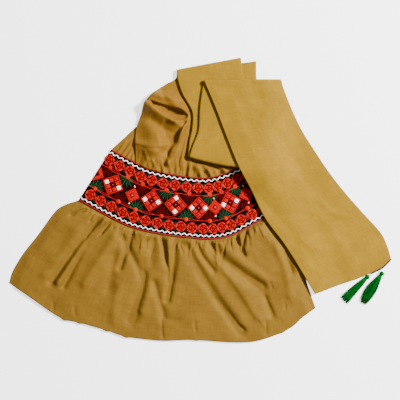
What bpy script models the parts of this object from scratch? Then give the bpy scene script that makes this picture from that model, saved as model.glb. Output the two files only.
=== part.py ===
"""An embroidered shawl lying on a table, its long end folded back and forth over itself.

Tables are in millimetres, seen from above, with x to the right and y up. A gathered ruffle hangs
from a curved band. The long body cloth is gathered onto the band's other edge, pleated in three,
and turned back at three folds: it rises from the band, comes down, rises again and comes down to
the far end, where a cord with two tassels is sewn on.
"""

import math

import bmesh
import bpy
import numpy as np

MM = 0.001
UP = np.array([0.0, 0.0, 1.0])
# The middle of the outline in the tables' own coordinates, which becomes the origin.
MIDDLE = (0.6, -0.34)

# Cloth
SHEET = 1.0
LAYER_GAP = 0.7
PITCH = SHEET + LAYER_GAP
LAYERS = 3
PASS_GAP = 1.1
STACK = LAYERS * PITCH + PASS_GAP
RUFFLE_SEAM = 0.6
BODY_SEAM = 1.0
EDGE_CLEARANCE = 2.5
FOLD_CLEARANCE = 14.0

# Band, its braid and its piping
BAND_THICK = 2.0
TRIM_GAP = 0.3
BRAID_INSET = 7.5
BRAID_PITCH = 14.0
BRAID_SWING = 2.3
BRAID_WIDE = 3.4
BRAID_THICK = 1.0
PIPING_RADIUS = 1.3
PIPING_INSET = 1.2

# How far the cloth above keeps clear of the band and the ruffle, and how far out that dies away.
GROUND_RISE = 8.5
BAND_REACH = 85.0
RUFFLE_REACH = 90.0
STACK_REACH = 90.0

# Stations along the band, left to right.
BAND = (
    # upper x, upper y, lower x, lower y
    (-222.5, 126.0, -302.5, 0.0),
    (-178.0, 102.0, -240.0, -35.0),
    (-132.0, 79.0, -174.0, -67.0),
    (-84.0, 66.5, -105.0, -84.0),
    (-33.0, 58.0, -36.0, -93.0),
    (16.0, 55.0, 28.0, -97.5),
    (56.0, 64.5, 80.0, -88.0),
    (96.0, 82.0, 143.0, -55.0),
    (141.0, 106.0, 208.5, -21.0),
)

# Sections of the body cloth, each by its four stops across the width: the left hem, the right
# fold, the left fold and the right hem of the pleat.
# Columns: left hem x, y; right fold x, y; left fold x, y; right hem x, y
RISING = (
    (-222.0, 126.5, -125.0, 76.0, -160.0, 93.5, 141.0, 106.5),
    (-207.0, 140.0, -105.0, 100.0, -161.0, 117.0, 142.0, 125.0),
    (-190.0, 155.0, -75.0, 125.0, -162.0, 142.0, 142.0, 145.0),
    (-165.0, 178.0, -25.0, 158.0, -159.0, 178.0, 142.0, 170.0),
    (-128.0, 208.0, 37.0, 190.0, -147.0, 212.0, 142.0, 197.0),
    (-98.0, 235.0, 87.0, 225.0, -137.0, 246.0, 142.0, 227.0),
    (-73.0, 262.0, 104.0, 256.0, -113.0, 270.0, 142.0, 257.0),
    (-62.0, 285.0, 104.0, 290.0, -83.0, 290.0, 141.0, 290.0),
    (-57.0, 303.0, 103.0, 322.0, -61.0, 302.0, 140.0, 318.0),
    (-58.0, 320.0, 102.0, 350.0, -57.0, 320.0, 140.0, 344.0),
)
FALLING = (
    (-58.0, 320.0, 102.0, 350.0, -57.0, 320.0, 140.0, 344.0),
    (-56.0, 300.0, 107.0, 310.0, -51.0, 299.0, 141.0, 305.0),
    (-45.0, 266.0, 117.0, 262.0, -38.0, 266.0, 145.0, 257.0),
    (-31.0, 242.0, 126.0, 232.0, -24.0, 241.0, 149.0, 228.0),
    (-19.0, 217.0, 133.0, 203.0, -13.0, 215.0, 152.0, 199.0),
    (-20.0, 180.0, 140.0, 165.0, -13.0, 178.0, 155.0, 161.0),
    (-27.0, 145.0, 148.0, 126.0, -20.0, 143.0, 158.0, 124.0),
    (-30.0, 112.0, 155.0, 82.0, -25.0, 111.0, 165.0, 80.0),
)
CROSSING = (
    (-30.0, 112.0, 155.0, 82.0, -25.0, 111.0, 165.0, 80.0),
    (-12.0, 137.0, 160.0, 125.0, -17.0, 136.0, 170.0, 124.0),
    (3.0, 175.0, 170.0, 172.0, -3.0, 174.0, 176.0, 172.0),
    (6.0, 232.0, 188.0, 236.0, 0.0, 231.0, 192.0, 236.0),
    (11.0, 293.0, 201.0, 295.0, 9.0, 293.0, 203.0, 295.0),
)
LAST = (
    (11.0, 293.0, 201.0, 295.0, 9.0, 293.0, 203.0, 295.0),
    (38.0, 229.0, 223.0, 238.0, 44.0, 229.0, 217.0, 238.0),
    (65.0, 158.0, 251.0, 179.0, 72.0, 159.0, 244.0, 178.0),
    (93.0, 88.0, 286.0, 123.0, 101.0, 90.0, 280.0, 122.0),
    (128.0, 22.0, 323.0, 68.0, 136.0, 24.0, 317.0, 66.0),
    (162.0, -46.0, 363.0, 17.0, 170.0, -43.0, 356.0, 15.0),
    (207.0, -106.0, 407.0, -33.0, 214.0, -103.0, 400.0, -36.0),
    (246.5, -168.0, 451.0, -82.0, 254.0, -165.0, 444.0, -85.0),
    (271.0, -209.0, 468.5, -118.5, 277.5, -206.0, 462.5, -121.5),
    (286.0, -234.0, 476.5, -146.0, 292.0, -231.0, 470.5, -149.0),
)
# How far a fold, or the far end, bows out from the line between its corners.
# Columns: share of the way from the left corner to the right one; distance out
LOWER_FOLD_BOW = (
    (0.0, 0.0),
    (0.1, 2.2),
    (0.25, 5.0),
    (0.5, 7.0),
    (0.75, 5.0),
    (0.9, 2.2),
    (1.0, 0.0),
)
FAR_END_BOW = (
    (0.0, 0.0),
    (0.1, 2.2),
    (0.3, 5.6),
    (0.42, 8.2),
    (0.52, 11.0),
    (0.6, 11.8),
    (0.7, 11.7),
    (0.8, 11.4),
    (0.87, 10.2),
    (0.93, 5.8),
    (0.97, 2.2),
    (1.0, 0.0),
)

# Raised and sunk folds of the body cloth between the band and the upper fold.
# Columns: three points x, y; rise; half width
PUFF_FOLDS = (
    (-122.0, 212.0, -112.0, 170.0, -112.0, 128.0, 19.0, 30.0),
    (-132.0, 240.0, -95.0, 214.0, -60.0, 195.0, 11.0, 10.5),
    (-123.0, 266.0, -80.0, 254.0, -40.0, 228.0, 19.0, 12.0),
    (-122.0, 249.0, -88.0, 232.0, -42.0, 212.0, -34.0, 8.5),
    (-118.0, 200.0, -85.0, 172.0, -60.0, 142.0, -7.0, 12.0),
    (-43.0, 184.0, -56.0, 126.0, -78.0, 92.0, 11.0, 8.0),
    (-152.0, 134.0, -132.0, 128.0, -114.0, 120.0, 4.0, 11.0),
    (-110.0, 108.0, -92.0, 118.0, -74.0, 112.0, -5.0, 9.0),
)
GATHERS = (
    (-142.0, 84.0, -138.0, 92.0, -132.0, 102.0, 2.4, 5.0),
    (-116.0, 74.0, -112.0, 84.0, -104.0, 96.0, 3.2, 6.0),
    (-92.0, 68.0, -88.0, 78.0, -80.0, 90.0, 3.0, 5.5),
    (-50.0, 62.0, -46.0, 78.0, -42.0, 96.0, 4.0, 6.0),
    (-28.0, 57.0, -28.0, 76.0, -26.0, 104.0, 4.4, 5.5),
    (4.0, 54.0, -10.0, 80.0, -24.0, 106.0, 5.0, 6.0),
    (34.0, 56.0, 24.0, 78.0, 12.0, 98.0, 5.6, 8.0),
    (62.0, 70.0, 56.0, 82.0, 44.0, 96.0, 4.4, 7.0),
    (82.0, 76.0, 76.0, 84.0, 70.0, 92.0, 5.0, 7.0),
    (112.0, 92.0, 108.0, 100.0, 104.0, 110.0, 3.6, 8.0),
)
PRESSED_REACH = 18.0
PLEAT_REACH = 90.0
# The first pass's folds are rounder, and rounder still where the top layer stands up.
SOFT_ROUND = 2.2
PUFF_ROUND = 6.0
PUFF_EDGE = 4.0

# Stations round the ruffle: its hem from left to right, then its two side edges from the band down.
RUFFLE_HEM = (
    (-477.0, -207.0),
    (-423.0, -244.0),
    (-369.0, -282.0),
    (-336.0, -299.0),
    (-302.0, -306.0),
    (-235.0, -325.0),
    (-184.0, -341.0),
    (-98.0, -351.0),
    (-20.0, -349.0),
    (66.0, -354.5),
    (127.0, -354.0),
    (178.0, -341.0),
    (226.0, -319.0),
    (257.0, -292.0),
    (289.0, -270.0),
)
RUFFLE_LEFT = (
    (-302.9, -0.6),
    (-338.0, -12.0),
    (-363.0, -30.0),
    (-404.0, -86.0),
    (-442.0, -134.0),
    (-468.0, -178.0),
    (-477.0, -207.0),
)
RUFFLE_RIGHT = (
    (208.9, -21.8),
    (226.0, -80.0),
    (246.0, -130.0),
    (263.0, -166.0),
    (266.0, -201.0),
    (276.0, -233.0),
    (289.0, -270.0),
)
# Folds of the ruffle, running from the band towards the hem.
# Columns: three points x, y; rise; half width
RUFFLE_FOLDS = (
    (-248.0, -45.0, -300.0, -107.0, -372.0, -205.0, -4.0, 9.0),
    (-236.0, -52.0, -289.0, -112.0, -352.0, -205.0, 3.5, 9.0),
    (-222.0, -55.0, -278.0, -100.0, -340.0, -214.0, -3.5, 8.0),
    (-322.0, -37.0, -300.0, -28.0, -277.0, -20.0, -2.0, 6.0),
    (-213.0, -140.0, -220.0, -180.0, -229.0, -222.0, -2.5, 13.0),
    (-168.0, -77.0, -178.0, -107.0, -200.0, -170.0, -4.0, 7.0),
    (-195.0, -92.0, -170.0, -140.0, -146.0, -187.0, -3.0, 9.0),
    (-117.0, -107.0, -140.0, -205.0, -172.0, -300.0, -4.0, 15.0),
    (-98.0, -88.0, -89.0, -127.0, -76.0, -202.0, -3.5, 7.5),
    (-59.0, -97.0, -63.0, -150.0, -82.0, -250.0, -4.5, 8.0),
    (-78.0, -95.0, -76.0, -130.0, -82.0, -175.0, 2.5, 7.0),
    (-115.0, -205.0, -102.0, -250.0, -90.0, -290.0, -2.5, 9.0),
    (-45.0, -99.0, 18.0, -207.0, 101.0, -325.0, -5.0, 12.0),
    (-10.0, -102.0, 4.0, -138.0, 34.0, -177.0, -3.0, 7.0),
    (22.0, -102.0, 62.0, -153.0, 152.0, -217.0, -4.5, 14.0),
    (40.0, -102.0, 84.0, -140.0, 165.0, -200.0, 1.8, 12.0),
    (90.0, -88.0, 99.0, -120.0, 110.0, -137.0, -3.5, 6.0),
    (114.0, -80.0, 108.0, -104.0, 104.0, -125.0, -3.0, 6.0),
    (167.0, -58.0, 212.0, -117.0, 229.0, -177.0, -2.5, 9.0),
    (162.0, -242.0, 170.0, -265.0, 180.0, -287.0, -2.5, 9.0),
)
RUFFLE_LEVEL = 4.6
RUFFLE_FALL = 2.6
RUFFLE_GATHER = 1.1
RUFFLE_GATHER_PITCH = 15.0
RUFFLE_GATHER_REACH = 32.0
RUFFLE_MOST = 5.4
RUFFLE_SIDE_REACH = 30.0

# Far end cord and tassels
CORD_RADIUS = 1.4
CORD_FROM = 0.715
TASSELS = (
    # name, head x, head y, tip x, tip y, width at the middle, width at the tip
    ("tassel_left", 417.8, -191.8, 357.5, -252.0, 20.0, 27.0),
    ("tassel_right", 454.0, -183.0, 404.5, -258.5, 28.0, 20.0),
)
# Rings of the bound part of a tassel, from its strands back to the stem.
# Columns: distance past the head's middle; half width; half height; height of the centre
TASSEL_RINGS = (
    (8.8, 4.8, 3.4, 4.0),
    (6.2, 4.2, 3.9, 4.4),
    (3.6, 5.6, 5.0, 5.3),
    (0.5, 6.0, 5.4, 5.7),
    (-2.8, 4.8, 4.4, 5.6),
    (-4.9, 0.9, 0.9, 5.3),
)
BINDING_LENGTH = 13.0
STEM_RADIUS = 0.9
STRAND_COLUMNS = 7
STRAND_ROWS = 3
STRAND_PITCH = 1.9
STRAND_SIDE = 1.3
STRAND_STEPS = 4
STRAND_LIFT = 0.6
STRAND_UNEVEN = 0.05

# Divisions of the meshes. The body cloth's are the parts of its three layers and of the two turns
# between them, where the pass is smooth and where it is gathered.
FLAT_COUNTS = (6, 6, 6, 3, 3)
GATHERED_COUNTS = (5, 5, 32, 3, 5)
RISING_SECTIONS = 25
SEWN_SECTIONS = 8
FALLING_SECTIONS = 9
CROSSING_SECTIONS = 8
LAST_SECTIONS = 16
TURN_STEPS = 5
BAND_COLUMNS = 44
PIPING_POINTS = 32
RUFFLE_COLUMNS = 92
RUFFLE_ROWS = 9
CORD_POINTS = 14


def through(rows, t):
    """The table's rows read as one smooth curve, with t counting the rows from 0."""
    rows = np.asarray(rows, float)
    t = np.clip(np.atleast_1d(np.asarray(t, float)), 0.0, len(rows) - 1.0)
    padded = np.vstack([2 * rows[0] - rows[1], rows, 2 * rows[-1] - rows[-2]])
    i = np.minimum(t.astype(int), len(rows) - 2)
    f = (t - i)[:, None]
    before, start, end, after = padded[i], padded[i + 1], padded[i + 2], padded[i + 3]
    return 0.5 * (
        2 * start
        + (end - before) * f
        + (2 * before - 5 * start + 4 * end - after) * f**2
        + (3 * start - before - 3 * end + after) * f**3
    )


def evenly(rows, count):
    """Values of t that divide the curve through the rows into stretches of equal length."""
    fine = np.linspace(0.0, len(rows) - 1.0, 40 * len(rows))
    points = through(rows, fine)
    travelled = np.append(0.0, np.cumsum(np.linalg.norm(np.diff(points, axis=0), axis=1)))
    return np.interp(np.linspace(0.0, travelled[-1], count), travelled, fine)


def smooth(x):
    x = np.clip(x, 0.0, 1.0)
    return x * x * (3.0 - 2.0 * x)


def distance_to_path(points, path):
    """The distance from each point to the nearest place on the path."""
    best = np.full(len(points), np.inf)
    for start, end in zip(path[:-1], path[1:]):
        run = end - start
        along = np.clip((points - start) @ run / max(run @ run, 1e-9), 0.0, 1.0)
        best = np.minimum(best, np.linalg.norm(points - start - along[:, None] * run, axis=1))
    return best


def inside(points, outline):
    """Whether each point lies inside the closed outline, by the crossings to its right."""
    within = np.zeros(len(points), bool)
    x, y = points[:, 0], points[:, 1]
    for (x0, y0), (x1, y1) in zip(outline, np.roll(outline, -1, axis=0)):
        spans = (y0 > y) != (y1 > y)
        height = y1 - y0 if y1 != y0 else 1e-9
        within ^= spans & (x < x0 + (y - y0) * (x1 - x0) / height)
    return within


def lifted(points, outline, reach, clearance=EDGE_CLEARANCE):
    """1 over the outline and its clearance, dying away to 0 at this reach outside it."""
    closed = np.vstack([outline, outline[:1]])
    away = np.where(inside(points, outline), 0.0, distance_to_path(points, closed))
    return smooth(1.0 - (away - clearance) / reach)


def relief(points, folds):
    """The height that a table of ridges and troughs adds at each point."""
    height = np.zeros(len(points))
    for fold in folds:
        path = through(np.reshape(fold[:6], (3, 2)), np.linspace(0.0, 2.0, 9))
        rise, half_width = fold[6:]
        height += rise * np.exp(-((distance_to_path(points, path) / half_width) ** 2))
    return height


def outline_of(sections):
    """The outer line of a pass of the pleated cloth, from its sections' outermost stops."""
    stops = np.reshape(sections, (-1, 4, 2))
    left = [row[np.argmin(row[:, 0])] for row in stops]
    right = [row[np.argmax(row[:, 0])] for row in stops]
    return np.array(left + right[::-1])


BAND_UPPER = np.array(BAND)[:, :2]
BAND_LOWER = np.array(BAND)[:, 2:]
BAND_OUTLINE = np.vstack([BAND_UPPER, BAND_LOWER[::-1]])
RUFFLE_SIDES = (np.array(RUFFLE_LEFT), np.array(RUFFLE_RIGHT))
RUFFLE_OUTLINE = np.vstack([RUFFLE_LEFT, RUFFLE_HEM[1:-1], RUFFLE_RIGHT[::-1]])
RISING_OUTLINE = outline_of(RISING)
LOW_LAYER_OUTLINE = np.vstack([np.array(RISING)[:, :2], np.array(RISING)[::-1, 2:4]])
MIDDLE_LAYER_OUTLINE = np.vstack([np.array(RISING)[:, 4:6], np.array(RISING)[::-1, 2:4]])
FALLING_OUTLINE = outline_of(FALLING)
CROSSING_OUTLINE = outline_of(CROSSING)


def under_rising(points):
    return np.zeros(len(points))


def under_falling(points):
    """The lowest place that the second pass may take, over the first pass, the band and the ruffle."""
    ground = np.maximum(
        lifted(points, BAND_OUTLINE, BAND_REACH), lifted(points, RUFFLE_OUTLINE, RUFFLE_REACH)
    )
    return GROUND_RISE * ground + over_pass(points, RISING_OUTLINE)


def over_pass(points, outline):
    return STACK * lifted(points, outline, STACK_REACH, FOLD_CLEARANCE)


def under_crossing(points):
    return under_falling(points) + over_pass(points, FALLING_OUTLINE)


def under_last(points):
    return under_crossing(points) + over_pass(points, CROSSING_OUTLINE)


def puff(points):
    """How far the top layer of the first pass stands off the layer below it."""
    pressed = lifted(points, FALLING_OUTLINE, PRESSED_REACH)
    near_band = lifted(points, BAND_OUTLINE, BAND_REACH)
    loose = np.maximum(relief(points, PUFF_FOLDS), 0.0) * (1.0 - pressed)
    return loose + relief(points, GATHERS) * near_band


def layers_below(points, layer):
    """How many layers of the first pass lie under this one, dying away beyond their edges."""
    below = np.zeros(len(points))
    for outline in (LOW_LAYER_OUTLINE, MIDDLE_LAYER_OUTLINE)[:layer]:
        below += lifted(points, outline, PLEAT_REACH)
    return below


def unit(vector):
    return vector / np.linalg.norm(vector)


def stretch(start, end, parts):
    return start + np.linspace(0.0, 1.0, parts + 1)[:, None] * (end - start)


def as_laid(plan, layer=None):
    return plan


def section(stops, ground, rising, counts, fit=as_laid, standing=None):
    """One section across the pleat, as (place in the width, x, y, z) rows.

    counts holds the parts of the three layers and of the two turns between them. The first layer
    is lowest where the pass rises and highest where it falls. fit moves its points in plan.
    standing, given for the first pass, is how far its top layer stands up.
    """
    left_hem, right_fold, left_fold, right_hem = np.reshape(stops, (4, 2))
    order = (0, 1, 2) if rising else (2, 1, 0)
    ends = ((left_hem, right_fold), (right_fold, left_fold), (left_fold, right_hem))
    outward = (unit(right_fold - left_hem), unit(left_fold - right_fold))
    rounding = [PITCH / 2, PITCH / 2]
    if standing is not None:
        edge = float(standing(left_fold[None] - PUFF_EDGE * outward[1])[0])
        rounding = [SOFT_ROUND, min(SOFT_ROUND + edge / 2, PUFF_ROUND)]
    insets = (
        (0.0, rounding[0] * outward[0]),
        (rounding[0] * outward[0], rounding[1] * outward[1]),
        (rounding[1] * outward[1], 0.0),
    )
    # Layers that lie on each other bend at the same places, or their flat faces would cross.
    shared = stretch((left_hem + left_fold) / 2, (right_fold + right_hem) / 2, counts[0])
    shared[0] = min(left_hem, left_fold, key=lambda stop: stop[0])
    shared[-1] = max(right_fold, right_hem, key=lambda stop: stop[0])
    across = unit(shared[-1] - shared[0])
    shared_places = (shared - shared[0]) @ across
    shared_heights = ground(fit(shared))
    layers = []
    for layer, ((start, end), (cut_start, cut_end)) in enumerate(zip(ends, insets)):
        start, end = start - cut_start, end - cut_end
        plan = stretch(start, end, counts[layer])
        if standing is None:
            inner = shared_places[-2:0:-1] if layer == 1 else shared_places[1:-1]
            share = (inner - (start - shared[0]) @ across) / ((end - start) @ across)
            plan[1:-1] = start + share[:, None] * (end - start)
        places = (plan - shared[0]) @ across
        plan = fit(plan, layer)
        if standing is None:
            z = np.interp(places, shared_places, shared_heights)
            z += SHEET / 2 + PITCH * order[layer]
        else:
            z = SHEET / 2 + PITCH * layers_below(plan, layer)
            if layer == 2:
                z += standing(plan)
        layers.append(np.column_stack([plan, z]))
    rows = []
    place = 0.0
    for layer, points in enumerate(layers):
        steps = np.linspace(0.0, 1.0, len(points))
        rows += [(place + step, *point) for step, point in zip(steps, points)]
        place += 1.0
        if layer == 2:
            break
        first, second = points[-1], layers[layer + 1][0]
        turns = counts[3 + layer]
        for k in range(1, turns):
            angle = math.pi * k / turns
            middle = (first + second) / 2 - math.cos(angle) * (second - first) / 2
            middle[:2] += outward[layer] * rounding[layer] * math.sin(angle)
            rows.append((place + 0.2 * k / turns, *middle))
        place += 0.2
    return np.array(rows)


def bowed(stops, bow):
    """A fit that pushes the middle of this section down, as a fold that doesn't lie straight."""
    shares, distances = np.transpose(bow)
    left, right = np.array(stops[:2]), np.array(stops[2:4])
    width = np.linalg.norm(right - left)
    along = (right - left) / width
    out = np.array([along[1], -along[0]])

    def fit(plan, layer=None):
        share = np.clip((plan - left) @ along / width, 0.0, 1.0)
        return plan + np.interp(share, shares, distances)[:, None] * out

    return fit


def turned(last, first, outward, steps):
    """The sections round a fold of the whole stack, between a pass's last and the next's first."""
    between = []
    radius = np.abs(first[:, 3] - last[:, 3]) / 2
    middle = (first[:, 3] + last[:, 3]) / 2
    for k in range(1, steps):
        angle = math.pi * k / steps
        rows = last.copy()
        rows[:, 1:3] += outward * (radius * math.sin(angle))[:, None]
        rows[:, 3] = middle - math.cos(angle) * (first[:, 3] - last[:, 3]) / 2
        between.append(rows)
    return between


def sewn_to_band(first, share):
    """A fit that draws a section this far onto the band's upper edge.

    first is the section on the edge itself, before it is drawn there: each point of a later
    section moves along with the point of the first one that has its place in the cloth.
    """
    edge = through(BAND_UPPER, evenly(BAND_UPPER, 200))
    tangent = np.gradient(edge, axis=0)
    normal = np.column_stack([-tangent[:, 1], tangent[:, 0]])
    edge = edge + BODY_SEAM * normal / np.linalg.norm(normal, axis=1)[:, None]

    def fit(plan, layer=None):
        if layer is None:
            return plan
        start = first[np.floor(first[:, 0] / 1.2) == layer]
        start = start[start[:, 0] <= 1.2 * layer + 1.0 + 1e-9, 1:3]
        on_edge = [np.interp(start[:, 0], edge[:, 0], edge[:, axis]) for axis in (0, 1)]
        return plan + share * (np.column_stack(on_edge) - start)

    return fit


def table_sections(table, first_column, count):
    """Sections read from the table, evenly spaced along the line in these two columns."""
    line = np.array(table)[:, first_column : first_column + 2]
    return through(table, evenly(line, count))


def body_sections():
    """All sections of the body cloth from the band to the far end."""
    rising = []
    first = section(RISING[0], under_rising, True, GATHERED_COUNTS, standing=puff)
    for k, stops in enumerate(table_sections(RISING, 4, RISING_SECTIONS)):
        fit = sewn_to_band(first, 1.0 - smooth(k / SEWN_SECTIONS))
        rising.append(section(stops, under_rising, True, GATHERED_COUNTS, fit, puff))
    rising[-1] = section(RISING[-1], under_rising, True, FLAT_COUNTS)
    falling = [
        section(stops, under_falling, False, FLAT_COUNTS)
        for stops in table_sections(FALLING, 0, FALLING_SECTIONS)
    ]
    crossing = [
        section(stops, under_crossing, True, FLAT_COUNTS)
        for stops in table_sections(CROSSING, 0, CROSSING_SECTIONS)
    ]
    last = [
        section(stops, under_last, False, FLAT_COUNTS)
        for stops in table_sections(LAST, 0, LAST_SECTIONS)
    ]
    lower_fit = bowed(FALLING[-1], LOWER_FOLD_BOW)
    falling[-1] = section(FALLING[-1], under_falling, False, FLAT_COUNTS, lower_fit)
    crossing[0] = section(CROSSING[0], under_crossing, True, FLAT_COUNTS, lower_fit)
    last[-1] = section(LAST[-1], under_last, False, FLAT_COUNTS, bowed(LAST[-1], FAR_END_BOW))
    upper_left, upper_right = np.array(RISING[-1][0:2]), np.array(RISING[-1][2:4])
    lower_left, lower_right = np.array(FALLING[-1][0:2]), np.array(FALLING[-1][2:4])
    up = unit(upper_right - upper_left)
    down = unit(lower_right - lower_left)
    return (
        rising
        + turned(rising[-1], falling[0], np.array([-up[1], up[0]]), TURN_STEPS)
        + falling
        + turned(falling[-1], crossing[0], np.array([down[1], -down[0]]), TURN_STEPS)
        + crossing
        + turned(crossing[-1], last[0], np.array([0.0, 1.0]), TURN_STEPS)
        + last
    )


def to_metres(points):
    """Table coordinates in millimetres to the object's own frame in metres."""
    points = np.array(points, float)
    points[:, 0] -= MIDDLE[0]
    points[:, 1] -= MIDDLE[1]
    return points * MM


def zipped(mesh, first, second):
    """Faces between two rows of (place, vertex) that may hold different numbers of vertices."""
    i = j = 0
    while i < len(first) - 1 or j < len(second) - 1:
        next_i = first[i + 1][0] if i < len(first) - 1 else math.inf
        next_j = second[j + 1][0] if j < len(second) - 1 else math.inf
        if abs(next_i - next_j) < 1e-6:
            near, far = (first[i][1], first[i + 1][1]), (second[j][1], second[j + 1][1])
            # Parted along the higher diagonal, so that layers on each other are parted alike.
            if near[0].co.z + far[1].co.z > near[1].co.z + far[0].co.z:
                mesh.faces.new((near[0], near[1], far[1]))
                corners = (near[0], far[1], far[0])
            else:
                mesh.faces.new((near[0], near[1], far[0]))
                corners = (near[1], far[1], far[0])
            i += 1
            j += 1
        elif next_i < next_j:
            corners = (first[i][1], first[i + 1][1], second[j][1])
            i += 1
        else:
            corners = (first[i][1], second[j + 1][1], second[j][1])
            j += 1
        mesh.faces.new(corners)


def lofted(sections):
    """A mesh through sections that are rows of (place, x, y, z)."""
    mesh = bmesh.new()
    previous = None
    for rows in sections:
        placed = to_metres(rows[:, 1:])
        current = [(place, mesh.verts.new(point)) for place, point in zip(rows[:, 0], placed)]
        if previous:
            zipped(mesh, previous, current)
        previous = current
    return mesh


def material(name, colour, roughness, sheen=0.0):
    made = bpy.data.materials.new(name)
    made.use_nodes = True
    shader = made.node_tree.nodes["Principled BSDF"]
    shader.inputs["Base Color"].default_value = (*colour, 1.0)
    shader.inputs["Roughness"].default_value = roughness
    shader.inputs["Metallic"].default_value = 0.0
    shader.inputs["Sheen Weight"].default_value = sheen
    return made


def add_object(name, data, surface, collection):
    made = bpy.data.objects.new(name, data)
    data.materials.append(surface)
    collection.objects.link(made)
    return made


def add_mesh(name, mesh, surface, collection):
    data = bpy.data.meshes.new(name)
    mesh.to_mesh(data)
    mesh.free()
    data.shade_smooth()
    return add_object(name, data, surface, collection)


def solidify(target, thickness):
    """Gives an open sheet its thickness, half to each side."""
    modifier = target.modifiers.new("Thickness", "SOLIDIFY")
    modifier.thickness = thickness * MM
    modifier.offset = 0.0
    return target


def band_station(t):
    """The band's upper and lower edge points at t, which counts its stations."""
    return through(BAND_UPPER, t), through(BAND_LOWER, t)


def band_line(inset, upper, count):
    """A line inside one edge of the band, evenly divided."""
    edge, other = (BAND_UPPER, BAND_LOWER) if upper else (BAND_LOWER, BAND_UPPER)
    t = evenly(edge, count)
    start = through(edge, t)
    tangent = np.gradient(start, axis=0)
    normal = np.column_stack([-tangent[:, 1], tangent[:, 0]])
    normal /= np.linalg.norm(normal, axis=1)[:, None]
    towards = through(other, t) - start
    normal *= np.sign((normal * towards).sum(axis=1))[:, None]
    return start + inset * normal, normal


def make_band(surface, collection):
    upper, lower = band_station(np.linspace(0.0, len(BAND) - 1.0, BAND_COLUMNS))
    middle = np.full(len(upper), BAND_THICK / 2)
    rows = [
        np.column_stack([np.linspace(0, 1, len(line)), line, middle])
        for line in (upper, lower)
    ]
    sheet = add_mesh("embroidered_band", lofted(rows), surface, collection)
    return solidify(sheet, BAND_THICK)


def make_braid(name, upper, surface, collection):
    """A zigzag braid, one row of points for each of its two edges."""
    length = travelled_along(BAND_UPPER if upper else BAND_LOWER)
    turns = 2 * round(length / BRAID_PITCH)
    line, normal = band_line(BRAID_INSET, upper, turns + 1)
    swing = BRAID_SWING * (-1.0) ** np.arange(turns + 1)
    height = np.full(turns + 1, BAND_THICK + TRIM_GAP + BRAID_THICK / 2)
    rows = []
    for side in (-0.5, 0.5):
        edge = line + (swing + side * BRAID_WIDE)[:, None] * normal
        rows.append(np.column_stack([np.linspace(0, 1, turns + 1), edge, height]))
    return solidify(add_mesh(name, lofted(rows), surface, collection), BRAID_THICK)


def travelled_along(rows):
    points = through(rows, np.linspace(0.0, len(rows) - 1.0, 200))
    return np.linalg.norm(np.diff(points, axis=0), axis=1).sum()


def add_tube(name, points, radius, surface, collection):
    """A tube through the points, closed at both ends."""
    curve = bpy.data.curves.new(name, "CURVE")
    curve.dimensions = "3D"
    curve.bevel_depth = radius * MM
    curve.bevel_resolution = 1
    curve.use_fill_caps = True
    spline = curve.splines.new("POLY")
    spline.points.add(len(points) - 1)
    for target, point in zip(spline.points, to_metres(points)):
        target.co = (*point, 1.0)
    return add_object(name, curve, surface, collection)


def make_piping(name, upper, surface, collection):
    line, _ = band_line(PIPING_INSET, upper, PIPING_POINTS)
    height = np.full(len(line), BAND_THICK + TRIM_GAP + PIPING_RADIUS)
    return add_tube(name, np.column_stack([line, height]), PIPING_RADIUS, surface, collection)


def ruffle_height(plan, down):
    """The height of the ruffle's middle surface. down runs from 0 at the band to 1 at the hem."""
    level = RUFFLE_LEVEL - RUFFLE_FALL * down
    sides = np.minimum(distance_to_path(plan, RUFFLE_SIDES[0]), distance_to_path(plan, RUFFLE_SIDES[1]))
    near = smooth(1.0 - distance_to_path(plan, BAND_LOWER) / RUFFLE_GATHER_REACH)
    turn = 2 * math.pi * plan[:, 0] / RUFFLE_GATHER_PITCH
    gather = RUFFLE_GATHER * near * np.sin(turn + 1.3 * np.sin(0.27 * turn))
    height = np.clip(level + relief(plan, RUFFLE_FOLDS) + gather, 0.0, RUFFLE_MOST)
    height *= smooth(sides / RUFFLE_SIDE_REACH)
    sewn = smooth(down / 0.05)
    return SHEET / 2 + height * sewn + (1.0 - sewn) * (BAND_THICK - SHEET) / 2


def make_ruffle(surface, collection):
    """A sheet between the band's lower edge, the two side edges and the hem."""
    across = np.linspace(0.0, 1.0, RUFFLE_COLUMNS)
    top, _ = band_line(-RUFFLE_SEAM, False, RUFFLE_COLUMNS)
    hem = through(RUFFLE_HEM, evenly(RUFFLE_HEM, RUFFLE_COLUMNS))
    left = through(RUFFLE_LEFT, evenly(RUFFLE_LEFT, RUFFLE_ROWS))
    right = through(RUFFLE_RIGHT, evenly(RUFFLE_RIGHT, RUFFLE_ROWS))
    sections = []
    for row, down in enumerate(np.linspace(0.0, 1.0, RUFFLE_ROWS)):
        straight = top + down * (hem - top)
        plan = (
            straight
            + (1.0 - across)[:, None] * (left[row] - straight[0])
            + across[:, None] * (right[row] - straight[-1])
        )
        height = ruffle_height(plan, np.full(len(plan), down))
        sections.append(np.column_stack([across, plan, height]))
    return solidify(add_mesh("ruffle", lofted(sections), surface, collection), SHEET)


def make_body(surface, collection):
    sheet = add_mesh("shawl_body", lofted(body_sections()), surface, collection)
    return solidify(sheet, SHEET)


def make_end_cord(surface, collection):
    """A cord along the outer part of the far end, just off the edge of its top layer."""
    end = body_sections()[-1]
    top = end[: FLAT_COUNTS[0] + 1]
    rows = top[:, 1:4]
    count = len(rows) - 1
    t = np.linspace(CORD_FROM * count, count, CORD_POINTS)
    line = through(rows, t)
    tangent = np.gradient(line[:, :2], axis=0)
    out = np.column_stack([tangent[:, 1], -tangent[:, 0]])
    out /= np.linalg.norm(out, axis=1)[:, None]
    line[:, :2] += (CORD_RADIUS + RUFFLE_SEAM) * out
    return add_tube("end_cord", line, CORD_RADIUS, surface, collection), line


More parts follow.
